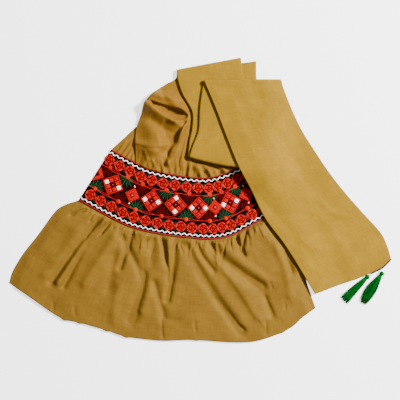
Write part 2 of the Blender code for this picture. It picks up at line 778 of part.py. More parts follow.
def bound_ring(centre, across, directions, half_width, half_height):
    """Points round the bound part of a tassel, each in its own direction from the centre."""
    return [
        centre + across * half_width * math.cos(a) + UP * half_height * math.sin(a)
        for a in directions
    ]


def joined(mesh, first, second):
    """Faces round between two closed rings of vertices."""
    for k in range(len(first)):
        after = (k + 1) % len(first)
        mesh.faces.new((first[k], second[k], second[after], first[after]))


def grow_strand(mesh, face, column, row, root, along, across, reach, cut, half_widths):
    """Draws one cell of the binding's end out into a strand that comes down to its resting height."""
    bmesh.ops.inset_individual(mesh, faces=[face], thickness=(STRAND_PITCH - STRAND_SIDE) / 2 * MM)
    share = (column + 0.5) / (STRAND_COLUMNS / 2) - 1.0
    raised = STRAND_LIFT + (row + 0.5) * STRAND_PITCH
    resting = STRAND_SIDE / 2 + row * STRAND_PITCH
    for step in range(STRAND_STEPS + 1):
        part = cut * step / STRAND_STEPS
        wide = share * through(half_widths, 2 * part)[0, 0]
        height = raised + smooth(part) * (resting - raised)
        centre = root + along * reach * part + across * wide + UP * height
        if step > 0:
            face = bmesh.ops.extrude_discrete_faces(mesh, faces=[face])["faces"][0]
        for vert, (side, up) in zip(face.verts, ((-1, -1), (1, -1), (1, 1), (-1, 1))):
            corner = centre + (across * side + UP * up) * STRAND_SIDE / 2
            vert.co = to_metres([corner])[0]


def make_tassel(name, head, tip, middle_width, tip_width, cord, surface, collection):
    """A bound head on a thin stem from the cord, with separate strands lying on the table."""
    mesh = bmesh.new()
    along = np.append(unit(tip - head), 0.0)
    across = np.array([-along[1], along[0], 0.0])
    head = np.append(head, 0.0)
    root = head + BINDING_LENGTH * along
    corners = [
        [(i - STRAND_COLUMNS / 2, j - STRAND_ROWS / 2) for i in range(STRAND_COLUMNS + 1)]
        for j in range(STRAND_ROWS + 1)
    ]
    lift = STRAND_LIFT + STRAND_ROWS * STRAND_PITCH / 2
    grid = [
        [
            mesh.verts.new(to_metres([root + (across * i + UP * j) * STRAND_PITCH + UP * lift])[0])
            for i, j in line
        ]
        for line in corners
    ]
    cells = {
        (i, j): mesh.faces.new((grid[j][i], grid[j][i + 1], grid[j + 1][i + 1], grid[j + 1][i]))
        for j in range(STRAND_ROWS)
        for i in range(STRAND_COLUMNS)
    }
    edge = (
        [(i, 0) for i in range(STRAND_COLUMNS)]
        + [(STRAND_COLUMNS, j) for j in range(STRAND_ROWS)]
        + [(i, STRAND_ROWS) for i in range(STRAND_COLUMNS, 0, -1)]
        + [(0, j) for j in range(STRAND_ROWS, 0, -1)]
    )
    directions = [
        math.atan2(corners[j][i][1] / STRAND_ROWS, corners[j][i][0] / STRAND_COLUMNS)
        for i, j in edge
    ]
    previous = [grid[j][i] for i, j in edge]
    for past, half_width, half_height, height in TASSEL_RINGS:
        centre = head + past * along + UP * height
        points = bound_ring(centre, across, directions, half_width, half_height)
        current = [mesh.verts.new(point) for point in to_metres(points)]
        joined(mesh, previous, current)
        previous = current
    nearest = cord[np.argmin(np.linalg.norm(cord[:, :2] - head[:2], axis=1))]
    towards = np.append(unit(nearest[:2] - head[:2]), 0.0)
    stem_end = nearest - towards * (CORD_RADIUS + TRIM_GAP)
    stem_across = np.array([towards[1], -towards[0], 0.0])
    points = bound_ring(stem_end, stem_across, directions, STEM_RADIUS, STEM_RADIUS)
    end = [mesh.verts.new(point) for point in to_metres(points)]
    joined(mesh, previous, end)
    mesh.faces.new(end)
    half_widths = ((STRAND_COLUMNS * STRAND_PITCH / 2,), (middle_width / 2,), (tip_width / 2,))
    reach = np.linalg.norm(tip - head[:2]) - BINDING_LENGTH
    for (i, j), face in cells.items():
        cut = 1.0 - STRAND_UNEVEN * ((3 * i + 5 * j) % 4)
        grow_strand(mesh, face, i, j, root, along, across, reach, cut, half_widths)
    bmesh.ops.recalc_face_normals(mesh, faces=mesh.faces)
    return add_mesh(name, mesh, surface, collection)


def main():
    for existing in list(bpy.data.objects):
        bpy.data.objects.remove(existing, do_unlink=True)
    collection = bpy.data.collections.new("Embroidered shawl")
    bpy.context.scene.collection.children.link(collection)
    cloth = material("Mustard cloth", (0.55, 0.35, 0.08), 0.55, 0.3)
    ground = material("Black embroidered ground", (0.16, 0.01, 0.01), 0.7)
    white = material("White braid", (0.85, 0.82, 0.76), 0.7)
    red = material("Red piping", (0.55, 0.03, 0.02), 0.6)
    black = material("Black cord", (0.02, 0.015, 0.015), 0.6)
    green = material("Green tassel thread", (0.0, 0.16, 0.02), 0.45)
    make_body(cloth, collection)
    make_ruffle(cloth, collection)
    make_band(ground, collection)
    make_braid("ricrac_upper", True, white, collection)
    make_braid("ricrac_lower", False, white, collection)
    make_piping("piping_upper", True, red, collection)
    make_piping("piping_lower", False, red, collection)
    _, cord = make_end_cord(black, collection)
    for name, head_x, head_y, tip_x, tip_y, middle_width, tip_width in TASSELS:
        make_tassel(
            name,
            np.array([head_x, head_y]),
            np.array([tip_x, tip_y]),
            middle_width,
            tip_width,
            cord,
            green,
            collection,
        )


main()
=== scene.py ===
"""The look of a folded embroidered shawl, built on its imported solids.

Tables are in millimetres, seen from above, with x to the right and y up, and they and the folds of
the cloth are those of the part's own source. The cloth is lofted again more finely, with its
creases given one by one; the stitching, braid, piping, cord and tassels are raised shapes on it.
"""

import math

import bpy
import numpy as np
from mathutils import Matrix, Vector


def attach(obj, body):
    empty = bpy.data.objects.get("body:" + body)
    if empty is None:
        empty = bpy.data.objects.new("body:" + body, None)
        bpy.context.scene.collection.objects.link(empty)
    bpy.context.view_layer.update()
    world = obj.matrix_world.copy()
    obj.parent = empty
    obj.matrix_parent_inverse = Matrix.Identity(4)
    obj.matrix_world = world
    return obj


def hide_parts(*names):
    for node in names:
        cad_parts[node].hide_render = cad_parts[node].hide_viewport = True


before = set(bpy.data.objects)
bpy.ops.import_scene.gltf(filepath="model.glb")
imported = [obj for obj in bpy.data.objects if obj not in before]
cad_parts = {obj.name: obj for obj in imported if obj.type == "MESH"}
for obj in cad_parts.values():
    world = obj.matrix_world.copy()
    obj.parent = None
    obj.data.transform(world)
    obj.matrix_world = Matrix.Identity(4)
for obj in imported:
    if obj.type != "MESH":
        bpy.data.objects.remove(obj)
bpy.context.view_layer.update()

MM = 0.001
UP = np.array([0.0, 0.0, 1.0])
# The middle of the outline in the tables' own coordinates, which becomes the origin.
MIDDLE = (0.6, -0.34)

# Cloth
SHEET = 1.0
LAYER_GAP = 0.7
PITCH = SHEET + LAYER_GAP
LAYERS = 3
PASS_GAP = 1.1
STACK = LAYERS * PITCH + PASS_GAP
RUFFLE_SEAM = 0.05
BODY_SEAM = 0.05
EDGE_CLEARANCE = 2.5
FOLD_CLEARANCE = 14.0

# Band, its braid and its piping
BAND_THICK = 2.0
TRIM_GAP = 0.3
BRAID_INSET = 7.5
BRAID_PITCH = 14.0
BRAID_SWING = 1.9
BRAID_PEAK = 0.175
BRAID_HALF_WIDTH = 1.224
BRAID_RISE = 1.1
PIPING_RADIUS = 1.6
PIPING_INSET = 0.7

# How far the cloth above keeps clear of the band and the ruffle, and how far out that dies away.
GROUND_RISE = 8.5
BAND_REACH = 85.0
RUFFLE_REACH = 90.0
STACK_REACH = 90.0

# Stations along the band, left to right.
BAND = (
    # upper x, upper y, lower x, lower y
    (-222.5, 126, -302.5, 0),
    (-178, 102, -240, -35),
    (-132, 79, -174, -67),
    (-84, 66.5, -105, -84),
    (-33, 58, -36, -93),
    (16, 55, 28, -97.5),
    (56, 64.5, 80, -88),
    (96, 82, 143, -55),
    (141, 106, 208.5, -21),
)

# Sections of the body cloth, each by its four stops across the width: the left hem, the right
# fold, the left fold and the right hem of the pleat.
# Columns: left hem x, y; right fold x, y; left fold x, y; right hem x, y
RISING = (
    (-222, 126.5, -125, 76, -160, 93.5, 141, 106.5),
    (-207, 140, -105, 100, -161, 117, 142, 125),
    (-190, 155, -75, 125, -162, 142, 142, 145),
    (-165, 178, -25, 158, -159, 178, 142, 170),
    (-128, 208, 37, 190, -147, 212, 142, 197),
    (-98, 235, 87, 225, -137, 246, 142, 227),
    (-73, 262, 104, 256, -113, 270, 142, 257),
    (-62, 285, 104, 290, -83, 290, 141, 290),
    (-57, 303, 103, 322, -61, 302, 140, 318),
    (-58, 320, 102, 350, -57, 320, 140, 344),
)
FALLING = (
    (-58, 320, 102, 350, -57, 320, 140, 344),
    (-56, 300, 107, 310, -51, 299, 141, 305),
    (-45, 266, 117, 262, -38, 266, 145, 257),
    (-31, 242, 126, 232, -24, 241, 149, 228),
    (-19, 217, 133, 203, -13, 215, 152, 199),
    (-20, 180, 140, 165, -13, 178, 155, 161),
    (-27, 145, 148, 126, -20, 143, 158, 124),
    (-30, 112, 155, 82, -25, 111, 165, 80),
)
CROSSING = (
    (-30, 112, 155, 82, -25, 111, 165, 80),
    (-12, 137, 160, 125, -17, 136, 170, 124),
    (3, 175, 170, 172, -3, 174, 176, 172),
    (6, 232, 188, 236, 0, 231, 192, 236),
    (11, 293, 201, 295, 9, 293, 203, 295),
)
LAST = (
    (11, 293, 201, 295, 9, 293, 203, 295),
    (38, 229, 223, 238, 44, 229, 217, 238),
    (65, 158, 251, 179, 72, 159, 244, 178),
    (93, 88, 286, 123, 101, 90, 280, 122),
    (128, 22, 323, 68, 136, 24, 317, 66),
    (162, -46, 363, 17, 170, -43, 356, 15),
    (207, -106, 407, -33, 214, -103, 400, -36),
    (246.5, -168, 451, -82, 254, -165, 444, -85),
    (271, -209, 468.5, -118.5, 277.5, -206, 462.5, -121.5),
    (286, -234, 476.5, -146, 292, -231, 470.5, -149),
)
# How far a fold, or the far end, bows out from the line between its corners.
# Columns: share of the way from the left corner to the right one; distance out
LOWER_FOLD_BOW = (
    (0, 0),
    (0.1, 2.2),
    (0.25, 5),
    (0.5, 7),
    (0.75, 5),
    (0.9, 2.2),
    (1, 0),
)
FAR_END_BOW = (
    (0, 0),
    (0.1, 2.2),
    (0.3, 5.6),
    (0.42, 8.2),
    (0.52, 11),
    (0.6, 11.8),
    (0.7, 11.7),
    (0.8, 11.4),
    (0.87, 10.2),
    (0.93, 5.8),
    (0.97, 2.2),
    (1, 0),
)

# Raised and sunk folds of the body cloth between the band and the upper fold.
# Columns: three points x, y; rise; half width
PUFF_FOLDS = (
    (-122, 212, -112, 170, -112, 128, 19, 30),
    (-132, 240, -95, 214, -60, 195, 11, 10.5),
    (-123, 266, -80, 254, -40, 228, 19, 12),
    (-118, 200, -85, 172, -60, 142, -7, 12),
    (-43, 184, -56, 126, -78, 92, 11, 8),
    (-152, 134, -132, 128, -114, 120, 4, 11),
    (-110, 108, -92, 118, -74, 112, -5, 9),
)
GATHERS = (
    (-142, 84, -138, 92, -132, 102, 2.4, 5),
    (-116, 74, -112, 84, -104, 96, 3.2, 6),
    (-92, 68, -88, 78, -80, 90, 3, 5.5),
    (-50, 62, -46, 78, -42, 96, 4, 6),
    (-28, 57, -28, 76, -26, 104, 4.4, 5.5),
    (4, 54, -10, 80, -24, 106, 5, 6),
    (34, 56, 24, 78, 12, 98, 5.6, 8),
    (62, 70, 56, 82, 44, 96, 4.4, 7),
    (82, 76, 76, 84, 70, 92, 5, 7),
    (112, 92, 108, 100, 104, 110, 3.6, 8),
)
PRESSED_REACH = 9.0
PLEAT_REACH = 90.0
# The first pass's folds are rounder, and rounder still where the top layer stands up.
SOFT_ROUND = 2.2
PUFF_ROUND = 6.0
PUFF_EDGE = 4.0

# Stations round the ruffle: its hem from left to right, then its two side edges from the band down.
RUFFLE_HEM = (
    (-477, -207),
    (-423, -244),
    (-369, -282),
    (-336, -299),
    (-302, -306),
    (-235, -325),
    (-184, -341),
    (-98, -351),
    (-20, -349),
    (66, -354.5),
    (127, -354),
    (178, -341),
    (226, -319),
    (257, -292),
    (289, -270),
)
RUFFLE_LEFT = (
    (-302.9, -0.6),
    (-338, -12),
    (-363, -30),
    (-404, -86),
    (-442, -134),
    (-468, -178),
    (-477, -207),
)
RUFFLE_RIGHT = (
    (208.9, -21.8),
    (226, -80),
    (246, -130),
    (263, -166),
    (266, -201),
    (276, -233),
    (289, -270),
)
# Folds of the ruffle, running from the band towards the hem.
# Columns: three points x, y; rise; half width
RUFFLE_FOLDS = (
    (-248, -45, -300, -107, -372, -205, -4, 9),
    (-236, -52, -289, -112, -352, -205, 3.5, 9),
    (-222, -55, -278, -100, -340, -214, -3.5, 8),
    (-322, -37, -300, -28, -277, -20, -2, 6),
    (-213, -140, -220, -180, -229, -222, -2.5, 13),
    (-168, -77, -178, -107, -200, -170, -4, 7),
    (-195, -92, -170, -140, -146, -187, -3, 9),
    (-117, -107, -140, -205, -172, -300, -4, 15),
    (-98, -88, -89, -127, -76, -202, -3.5, 7.5),
    (-59, -97, -63, -150, -82, -250, -4.5, 8),
    (-78, -95, -76, -130, -82, -175, 2.5, 7),
    (-115, -205, -102, -250, -90, -290, -2.5, 9),
    (-45, -99, 18, -207, 101, -325, -5, 12),
    (-10, -102, 4, -138, 34, -177, -3, 7),
    (22, -102, 62, -153, 152, -217, -4.5, 14),
    (40, -102, 84, -140, 165, -200, 1.8, 12),
    (90, -88, 99, -120, 110, -137, -3.5, 6),
    (114, -80, 108, -104, 104, -125, -3, 6),
    (167, -58, 212, -117, 229, -177, -2.5, 9),
    (162, -242, 170, -265, 180, -287, -2.5, 9),
)
RUFFLE_LEVEL = 9.0
RUFFLE_FALL = 3.5
RUFFLE_GATHER = 1.1
RUFFLE_GATHER_PITCH = 15.0
RUFFLE_GATHER_REACH = 32.0
RUFFLE_SEWN_SHARE = 0.05
RUFFLE_MOST = 15.0
RUFFLE_DEEPEN = 2.1
UNDER_STRIP = 5.4
UNDER_STRIP_REACH = 14.0
RUFFLE_SIDE_REACH = 30.0

# Far end cord and tassels
CORD_RADIUS = 1.4
CORD_FROM = 0.715
CORD_GAP = 0.65
TASSELS = (
    # name, head x, head y, tip x, tip y, width at the middle, width at the tip
    ("tassel_left", 417.8, -191.8, 357.5, -252, 20, 27),
    ("tassel_right", 454, -183, 404.5, -258.5, 28, 20),
)
# Rings of a tassel's bound head, from its threads back to its loops
# Columns: distance past the head's middle; half width; half height; height of the centre
HEAD_RINGS = (
    (9.6, 4.8, 3.6, 4),
    (7.8, 4.4, 3.8, 4.1),
    (6.6, 4, 3.7, 4.3),
    (5.6, 3.8, 3.6, 4.4),
    (4.6, 4.4, 4.2, 4.8),
    (3.2, 5.5, 5, 5.3),
    (1.4, 6.1, 5.4, 5.6),
    (-0.4, 6.1, 5.4, 5.7),
    (-2.2, 5.3, 4.8, 5.7),
    (-3.8, 3.6, 3.4, 5.5),
    (-5, 1.4, 1.4, 5.3),
)
HEAD_SIDES = 28
HEAD_RIDGES = 14
HEAD_RIDGE = 0.05
BINDINGS = (5.2, 6.1, 7.0)
BINDING_RADIUS = 4.1
BINDING_HEIGHT = 4.35
THREAD_ROOT = 8.0
THREADS = 132
THREAD_RADIUS = 0.52
THREAD_END_RADIUS = 0.3
THREAD_LOWEST = 0.45
GOLDEN_ANGLE = 2.39996
BUNDLE_WIDE = 5.0
# Half height of the bundle of threads and height of its centre, at the head and at the tip
BUNDLE_HALF_HEIGHT = (3.3, 2.4)
BUNDLE_CENTRE = (4.3, 2.9)
NECK_HEIGHT = 5.3
NECK_BACK = 4.4
LOOP_WIDE = 2.2
LOOP_RADIUS = 0.55
CORD_TURN = 5.0
CORD_OFFSET = 0.9
CORD_STRAND_RADIUS = 1.25

# Creases placed over the folds of the solids, each with its own width on its two sides.
# Columns: three points x, y; rise; width to the left of the line; width to its right
PUFF_CREASES = (
    (-127, 246, -97, 225, -68, 201.5, 10, 3.5, 24),
    (-68, 201.5, -48, 198, -30, 204, 8, 3.5, 9),
    (-123, 250, -93, 237, -64, 226.5, 6, 8, 3.5),
    (-64, 226.5, -43, 219, -25, 208, 6, 7, 3.5),
    (-94.7, 276.8, -85.7, 251.8, -46.4, 241, -4, 7, 5),
    (-135, 205, -107.5, 182.5, -80, 157.5, -5, 13, 13),
    (-160, 142.5, -127.5, 135, -87.5, 135, 5, 10, 4),
    (-30, 195, -47.5, 167.5, -75, 112.5, 8, 7, 3.5),
    (-40, 190, -57.5, 157.5, -82.5, 122.5, -5, 4, 6),
    (-27.5, 167.5, -40, 130, -50, 87.5, 4.5, 5, 3),
    (-132.5, 92.5, -127.5, 97.5, -122.5, 102.5, -3, 2, 2.5),
    (-92.5, 195, -105, 165, -100, 135, 2, 6, 6),
)
# The open pocket under the top fold, round its edge
POCKET = (
    (-126, 253),
    (-109, 247),
    (-91, 241.5),
    (-73, 235),
    (-55, 231),
    (-40.5, 224.5),
    (-27, 214),
    (-32, 202.5),
    (-46, 196.5),
    (-67.5, 197),
    (-80.5, 205),
    (-98.5, 217.5),
    (-120, 236),
)
UPPER_LIP_POINTS = 7
POCKET_WALL = 4.0
UPPER_LIP_LEAN = 2.5
LOWER_LIP_LEAN = 0.5
LIP_REACH = 18.0
TUCKS = (
    (-22, 86, 28, 74, 78, 72, 4, 7, 7),
    (-8, 88, 0, 76, 4, 62, 5, 3, 4),
    (30, 84, 38, 74, 42, 64, 4, 3, 3.5),
    (-5, 90, 15, 82.5, 27.5, 60.5, 5.5, 3, 4),
    (47.5, 82.5, 57.5, 78.8, 65, 70, 5, 3, 4),
    (-32.5, 100, -20, 97.5, -7.5, 92.5, -4, 4, 4),
    (17.5, 82.5, 32.5, 80, 45, 80, -4, 4, 4),
    (-120, 100, -112.5, 87.5, -107.5, 75, 3, 2.5, 3),
    (-97.5, 100, -92.5, 80, -90, 68, 3.5, 2.5, 3),
    (-80, 105, -75, 82.5, -72.5, 66, 3, 2, 3),
    (-60, 110, -57.5, 85, -57.5, 63, 3.5, 2.5, 3),
    (-42.5, 110, -40, 82.5, -42.5, 61, 3, 2.5, 2.5),
    (-25, 85, -25, 70, -27.5, 58.5, 3.5, 2.5, 3),
    (72.5, 80, 77.5, 77, 82.5, 74, 3, 2.5, 3),
    (-140, 125, -132.5, 107.5, -127, 85, 2.5, 3, 3),
    (-179, 139, -184, 134, -190, 130.5, -3, 2, 3),
    (-168, 133, -175, 126, -183, 119.5, -3, 2, 3),
    (-162, 128, -166, 115, -172, 104, -2.5, 2, 3),
)
# On the lowest layer's part that shows at the left of the upper ones
NECK_CREASES = (
    (-208, 117, -198, 128, -188, 143, 2.6, 2.5, 5),
    (-194, 112, -185, 124, -172, 142, 3, 3, 5),
    (-182, 106, -176, 118, -166, 130, 2.6, 2.5, 4),
    (-170, 101, -168, 110, -163, 122, 2.2, 2, 3),
)
STRIP_CREASES = (
    (202.5, 300, 230, 225, 272.5, 145, 1.6, 9, 12),
    (137.5, 275, 187.5, 175, 250, 75, -1, 12, 20),
    (80, 250, 125, 125, 200, -12.5, 1.2, 14, 16),
    (225, 75, 300, -37.5, 380, -155, 1.3, 14, 18),
    (100, 300, 155, 285, 205, 300, -0.9, 8, 10),
    (155, 0, 212.5, -62.5, 287.5, -155, -1, 10, 14),
    (295, 0, 330, -30, 370, -40, 1, 7, 9),
    (250, -100, 312.5, -125, 362.5, -115, 0.8, 8, 9),
)
RUFFLE_CREASES = (
    (-212.5, -92, -246, -142, -287.5, -208, 3.6, 14, 12),
    (-133, -142, -129, -208, -146, -275, 3, 12, 9),
    (-54, -108, -71, -167, -79, -212.5, 3, 8, 4),
    (-37.5, -117, 25, -217, 100, -308, 3.4, 18, 9),
    (42, -150, 100, -225, 142, -292, 2.8, 18, 8),
    (-305, -75, -340, -130, -385, -185, 2.2, 16, 14),
    (190, -120, 215, -180, 225, -240, 2.2, 14, 10),
    (-200, -215, -212, -255, -215, -300, 2, 12, 10),
    (-322.5, -37.5, -300, -27.5, -277.5, -20, -2, 2.5, 3),
    (-295, -32.5, -277.5, -30, -260, -28.8, -1.6, 2, 2.5),
    (-225.8, -55, -235, -70, -245, -85, -2.4, 2, 3),
    (-117.5, -80, -127.5, -95, -140, -107.5, -2.4, 2, 3),
    (-98.3, -85, -85, -140, -76, -202.5, -2.2, 3, 4),
    (-58.8, -97.5, -70, -175, -82.5, -250, -3.2, 3.5, 5),
    (-95, -297.5, -75, -297.5, -55, -297.5, -1.2, 6, 8),
    (167.5, -55, 200, -115, 229, -177.5, -1.8, 4, 6),
    (175, -205, 177.5, -212.5, 180, -220, -1.4, 3, 3),
    (162.5, -242.5, 172.5, -265, 180, -287.5, -1.5, 4, 4),
    (212.5, -260, 212.5, -265, 212.5, -272.5, -1.2, 3, 3),
    (-366, -257.5, -366, -267.5, -365, -277.5, -1.2, 4, 4),
    (-312.5, -265, -312.5, -275, -310, -287.5, -1.2, 4, 4),
    (-95, -302.5, -95, -322.5, -92.5, -345, -1.6, 4, 4),
    (-12.5, -305, -12.5, -315, -10, -325, -1.4, 4, 4),
    (165, -305, 165, -317.5, 165, -332.5, -1.4, 4, 4),
    (88.8, -85, 95, -110, 101.5, -134, -3, 2.5, 3),
    (101.5, -134, 107.5, -137.5, 112.5, -137.5, -2.2, 2, 2),
    (114.2, -80, 110, -102.5, 104.5, -127.5, -2.6, 2.5, 3),
    (98.8, -85, 102.5, -105, 103.5, -125, 2, 2.5, 2.5),
)
# Small outward bumps of the ruffle's hem: x, y, size
HEM_BUMPS = (
    (-340, -298, 3),
    (-302, -306, 2.5),
    (-235, -325, 2.5),
    (-185, -341, 3),
    (-10, -349, 1.5),
    (205, -330, 2),
)
HEM_BUMP_WIDTH = 7.0
HEM_BUMP_FROM = 0.8

# The band's stitched pattern. Shares run along the band from its left end and across it from its
# upper edge; sizes are in millimetres.
# Columns: share across; share along of the first rose; share along from one to the next; roses
ROSE_ROWS = (
    (0.168, 0.024, 0.0680, 15),
    (0.832, 0.031, 0.0555, 18),
)
# Columns: share along; share across; kind; whether the white squares stand along the band
CENTRE_ROW = (
    (0.004, 0.47, "half", True),
    (0.105, 0.50, "checked", True),
    (0.215, 0.505, "plain", True),
    (0.318, 0.49, "checked", True),
    (0.444, 0.485, "checked", False),
    (0.567, 0.495, "checked", True),
    (0.667, 0.49, "plain", True),
    (0.769, 0.487, "checked", True),
    (0.868, 0.48, "plain", True),
    (0.965, 0.485, "checked", True),
)
# Columns: share along; whether at the upper side; whether green
FANS = (
    (0.050, True, False),
    (0.160, True, True),
    (0.250, True, False),
    (0.388, True, True),
    (0.515, True, False),
    (0.636, True, True),
    (0.722, True, False),
    (0.818, True, True),
    (0.920, True, False),
    (0.036, False, True),
    (0.162, False, False),
    (0.250, False, True),
    (0.379, False, False),
    (0.500, False, True),
    (0.624, False, False),
    (0.729, False, True),
    (0.852, False, False),
    (0.940, False, True),
)
FAN_ACROSS = (0.272, 0.706)
DIVIDING_LINES = (0.285, 0.698)

ROW_END = 0.995
GAP_END = 0.99
ROW_GROUND = 12.5
ROSE_SWAY = 0.7
# Petals of a rose, in shares of its radius
# Columns: distance from the heart; turn; sweep; half width; rise; colour of each
PETALS = (
    (0.75, 0, 1.22, 0.20, 1, ("red", "orange", "red", "red", "red")),
    (0.37, 0.5, 1.9, 0.13, 1.25, ("red", "red", "orange")),
)
# Leaves in the gap between two roses, measured from its middle in millimetres
# Columns: colour; start outwards, along; end outwards, along; half width; rise; bend
ROSE_LEAVES = (
    ("green", 6.5, -3.5, 11.5, 0, 1.6, 0.8, 0.1),
    ("mint", 7, 2, 10.5, 4, 0.7, 0.8, 0),
    ("green", -7, 0, -11.5, 3, 1.3, 0.8, 0),
    ("crimson", 3, 0, 8.5, -1, 1.5, 0.7, 0),
    ("crimson", -3, 0, -8.5, 1, 1.5, 0.7, 0),
)
# Tiles of each kind of cell: colour; share of the cell's half width; rise
CELLS = {
    "middle": (("maroon", 0.9, 0.7), ("pink", 0.28, 0.9)),
    "white": (("white", 0.86, 1.0),),
    "corner": (("red", 0.92, 0.9), ("magenta", 0.52, 1.2), ("maroon", 0.2, 1.4)),
    "side": (("red", 0.90, 0.9),),
}
PLAIN_HALF = 14.5
# Nested outlines of the half square at the band's left end: reach; colour
HALF_SQUARE = ((19.0, "red"), (15.0, "red"), (11.0, "orange"), (7.0, "crimson"))
FAN_COUNT = 13
FAN_OPEN = 2.9
# Lengths of a fan's even and odd threads at its middle, each with its shortening for a radian of lean
FAN_LENGTHS = ((25.0, 5.0), (29.0, 6.0))
GREEN_FAN = (("green", 1.3), ("mint", 0.6))
DARK_FAN = (("maroon", 1.5), ("crimson", 0.5))
GROUND_THREADS = 90
CORNERS = ((-1, -1), (1, -1), (1, 1), (-1, 1))
# The domed section of a run: share of its half width; share of its rise
DOME = ((-1.0, 0.0), (-0.66, 0.72), (0.0, 1.0), (0.66, 0.72), (1.0, 0.0))
LEAF_STEPS = 7
BRAID_STEPS = 12


def through(rows, t):
    """The table's rows read as one smooth curve, with t counting the rows from 0."""
    rows = np.asarray(rows, float)
    t = np.clip(np.atleast_1d(np.asarray(t, float)), 0.0, len(rows) - 1.0)
    padded = np.vstack([2 * rows[0] - rows[1], rows, 2 * rows[-1] - rows[-2]])
    i = np.minimum(t.astype(int), len(rows) - 2)
    f = (t - i)[:, None]
    before, start, end, after = padded[i], padded[i + 1], padded[i + 2], padded[i + 3]
    return 0.5 * (
        2 * start
        + (end - before) * f
        + (2 * before - 5 * start + 4 * end - after) * f**2
        + (3 * start - before - 3 * end + after) * f**3
    )


def evenly(rows, count):
    """Values of t that divide the curve through the rows into stretches of equal length."""
    fine = np.linspace(0.0, len(rows) - 1.0, 40 * len(rows))
    travelled = lengths(through(rows, fine))
    return np.interp(np.linspace(0.0, travelled[-1], count), travelled, fine)


def smooth(x):
    x = np.clip(x, 0.0, 1.0)
    return x * x * (3.0 - 2.0 * x)


def units(vectors):
    return vectors / np.linalg.norm(vectors, axis=-1, keepdims=True)


def lengths(points):
    """The length along a line from its start to each of its points."""
    return np.append(0.0, np.cumsum(np.linalg.norm(np.diff(points, axis=0), axis=1)))


def normals(line):
    """The directions to the left of a line in plan, at each of its points."""
    tangent = np.gradient(line, axis=0)
    return units(np.column_stack([-tangent[:, 1], tangent[:, 0]]))


def nearest(points, path):
    """The distance from each point to the path, and a measure that is above 0 on its left."""
    best = np.full(len(points), np.inf)
    side = np.zeros(len(points))
    for start, end in zip(path[:-1], path[1:]):
        run = end - start
        offset = points - start
        along = np.clip(offset @ run / max(run @ run, 1e-9), 0.0, 1.0)
        away = np.linalg.norm(offset - along[:, None] * run, axis=1)
        turn = run[0] * offset[:, 1] - run[1] * offset[:, 0]
        side = np.where(away < best, turn, side)
        best = np.minimum(best, away)
    return best, side


def distance_to_path(points, path):
    return nearest(points, path)[0]


def inside(points, outline):
    """Whether each point lies inside the closed outline, by the crossings to its right."""
    within = np.zeros(len(points), bool)
    x, y = points[:, 0], points[:, 1]
    for (x0, y0), (x1, y1) in zip(outline, np.roll(outline, -1, axis=0)):
        spans = (y0 > y) != (y1 > y)
        height = y1 - y0 if y1 != y0 else 1e-9
        within ^= spans & (x < x0 + (y - y0) * (x1 - x0) / height)
    return within


def lifted(points, outline, reach, clearance=EDGE_CLEARANCE):
    """1 over the outline and its clearance, dying away to 0 at this reach outside it."""
    closed = np.vstack([outline, outline[:1]])
    away = np.where(inside(points, outline), 0.0, distance_to_path(points, closed))
    return smooth(1.0 - (away - clearance) / reach)


def relief(points, folds):
    """The height that a table of ridges and troughs adds at each point."""
    height = np.zeros(len(points))
    for fold in folds:
        path = through(np.reshape(fold[:6], (3, 2)), np.linspace(0.0, 2.0, 9))
        rise, half_width = fold[6:]
        height += rise * np.exp(-((distance_to_path(points, path) / half_width) ** 2))
    return height


def outline_of(sections):
    """The outer line of a pass of the pleated cloth, from its sections' outermost stops."""
    stops = np.reshape(sections, (-1, 4, 2))
    left = [row[np.argmin(row[:, 0])] for row in stops]
    right = [row[np.argmax(row[:, 0])] for row in stops]
    return np.array(left + right[::-1])


BAND_UPPER = np.array(BAND)[:, :2]
BAND_LOWER = np.array(BAND)[:, 2:]
BAND_OUTLINE = np.vstack([BAND_UPPER, BAND_LOWER[::-1]])
RUFFLE_SIDES = (np.array(RUFFLE_LEFT), np.array(RUFFLE_RIGHT))
RUFFLE_OUTLINE = np.vstack([RUFFLE_LEFT, RUFFLE_HEM[1:-1], RUFFLE_RIGHT[::-1]])
RISING_OUTLINE = outline_of(RISING)
LOW_LAYER_OUTLINE = np.vstack([np.array(RISING)[:, :2], np.array(RISING)[::-1, 2:4]])
MIDDLE_LAYER_OUTLINE = np.vstack([np.array(RISING)[:, 4:6], np.array(RISING)[::-1, 2:4]])
FALLING_OUTLINE = outline_of(FALLING)
CROSSING_OUTLINE = outline_of(CROSSING)
LAST_OUTLINE = outline_of(LAST)


def under_rising(points):
    return np.zeros(len(points))


def under_falling(points):
    """The lowest place that the second pass may take, over the first pass, the band and the ruffle."""
    ground = np.maximum(
        lifted(points, BAND_OUTLINE, BAND_REACH), lifted(points, RUFFLE_OUTLINE, RUFFLE_REACH)
    )
    return GROUND_RISE * ground + over_pass(points, RISING_OUTLINE)


def over_pass(points, outline):
    return STACK * lifted(points, outline, STACK_REACH, FOLD_CLEARANCE)


def under_crossing(points):
    return under_falling(points) + over_pass(points, FALLING_OUTLINE)


def under_last(points):
    return under_crossing(points) + over_pass(points, CROSSING_OUTLINE)


def layers_below(points, layer):
    """How many layers of the first pass lie under this one, dying away beyond their edges."""
    below = np.zeros(len(points))
    for outline in (LOW_LAYER_OUTLINE, MIDDLE_LAYER_OUTLINE)[:layer]:
        below += lifted(points, outline, PLEAT_REACH)
    return below


def stretch(start, end, parts):
    return start + np.linspace(0.0, 1.0, parts + 1)[:, None] * (end - start)


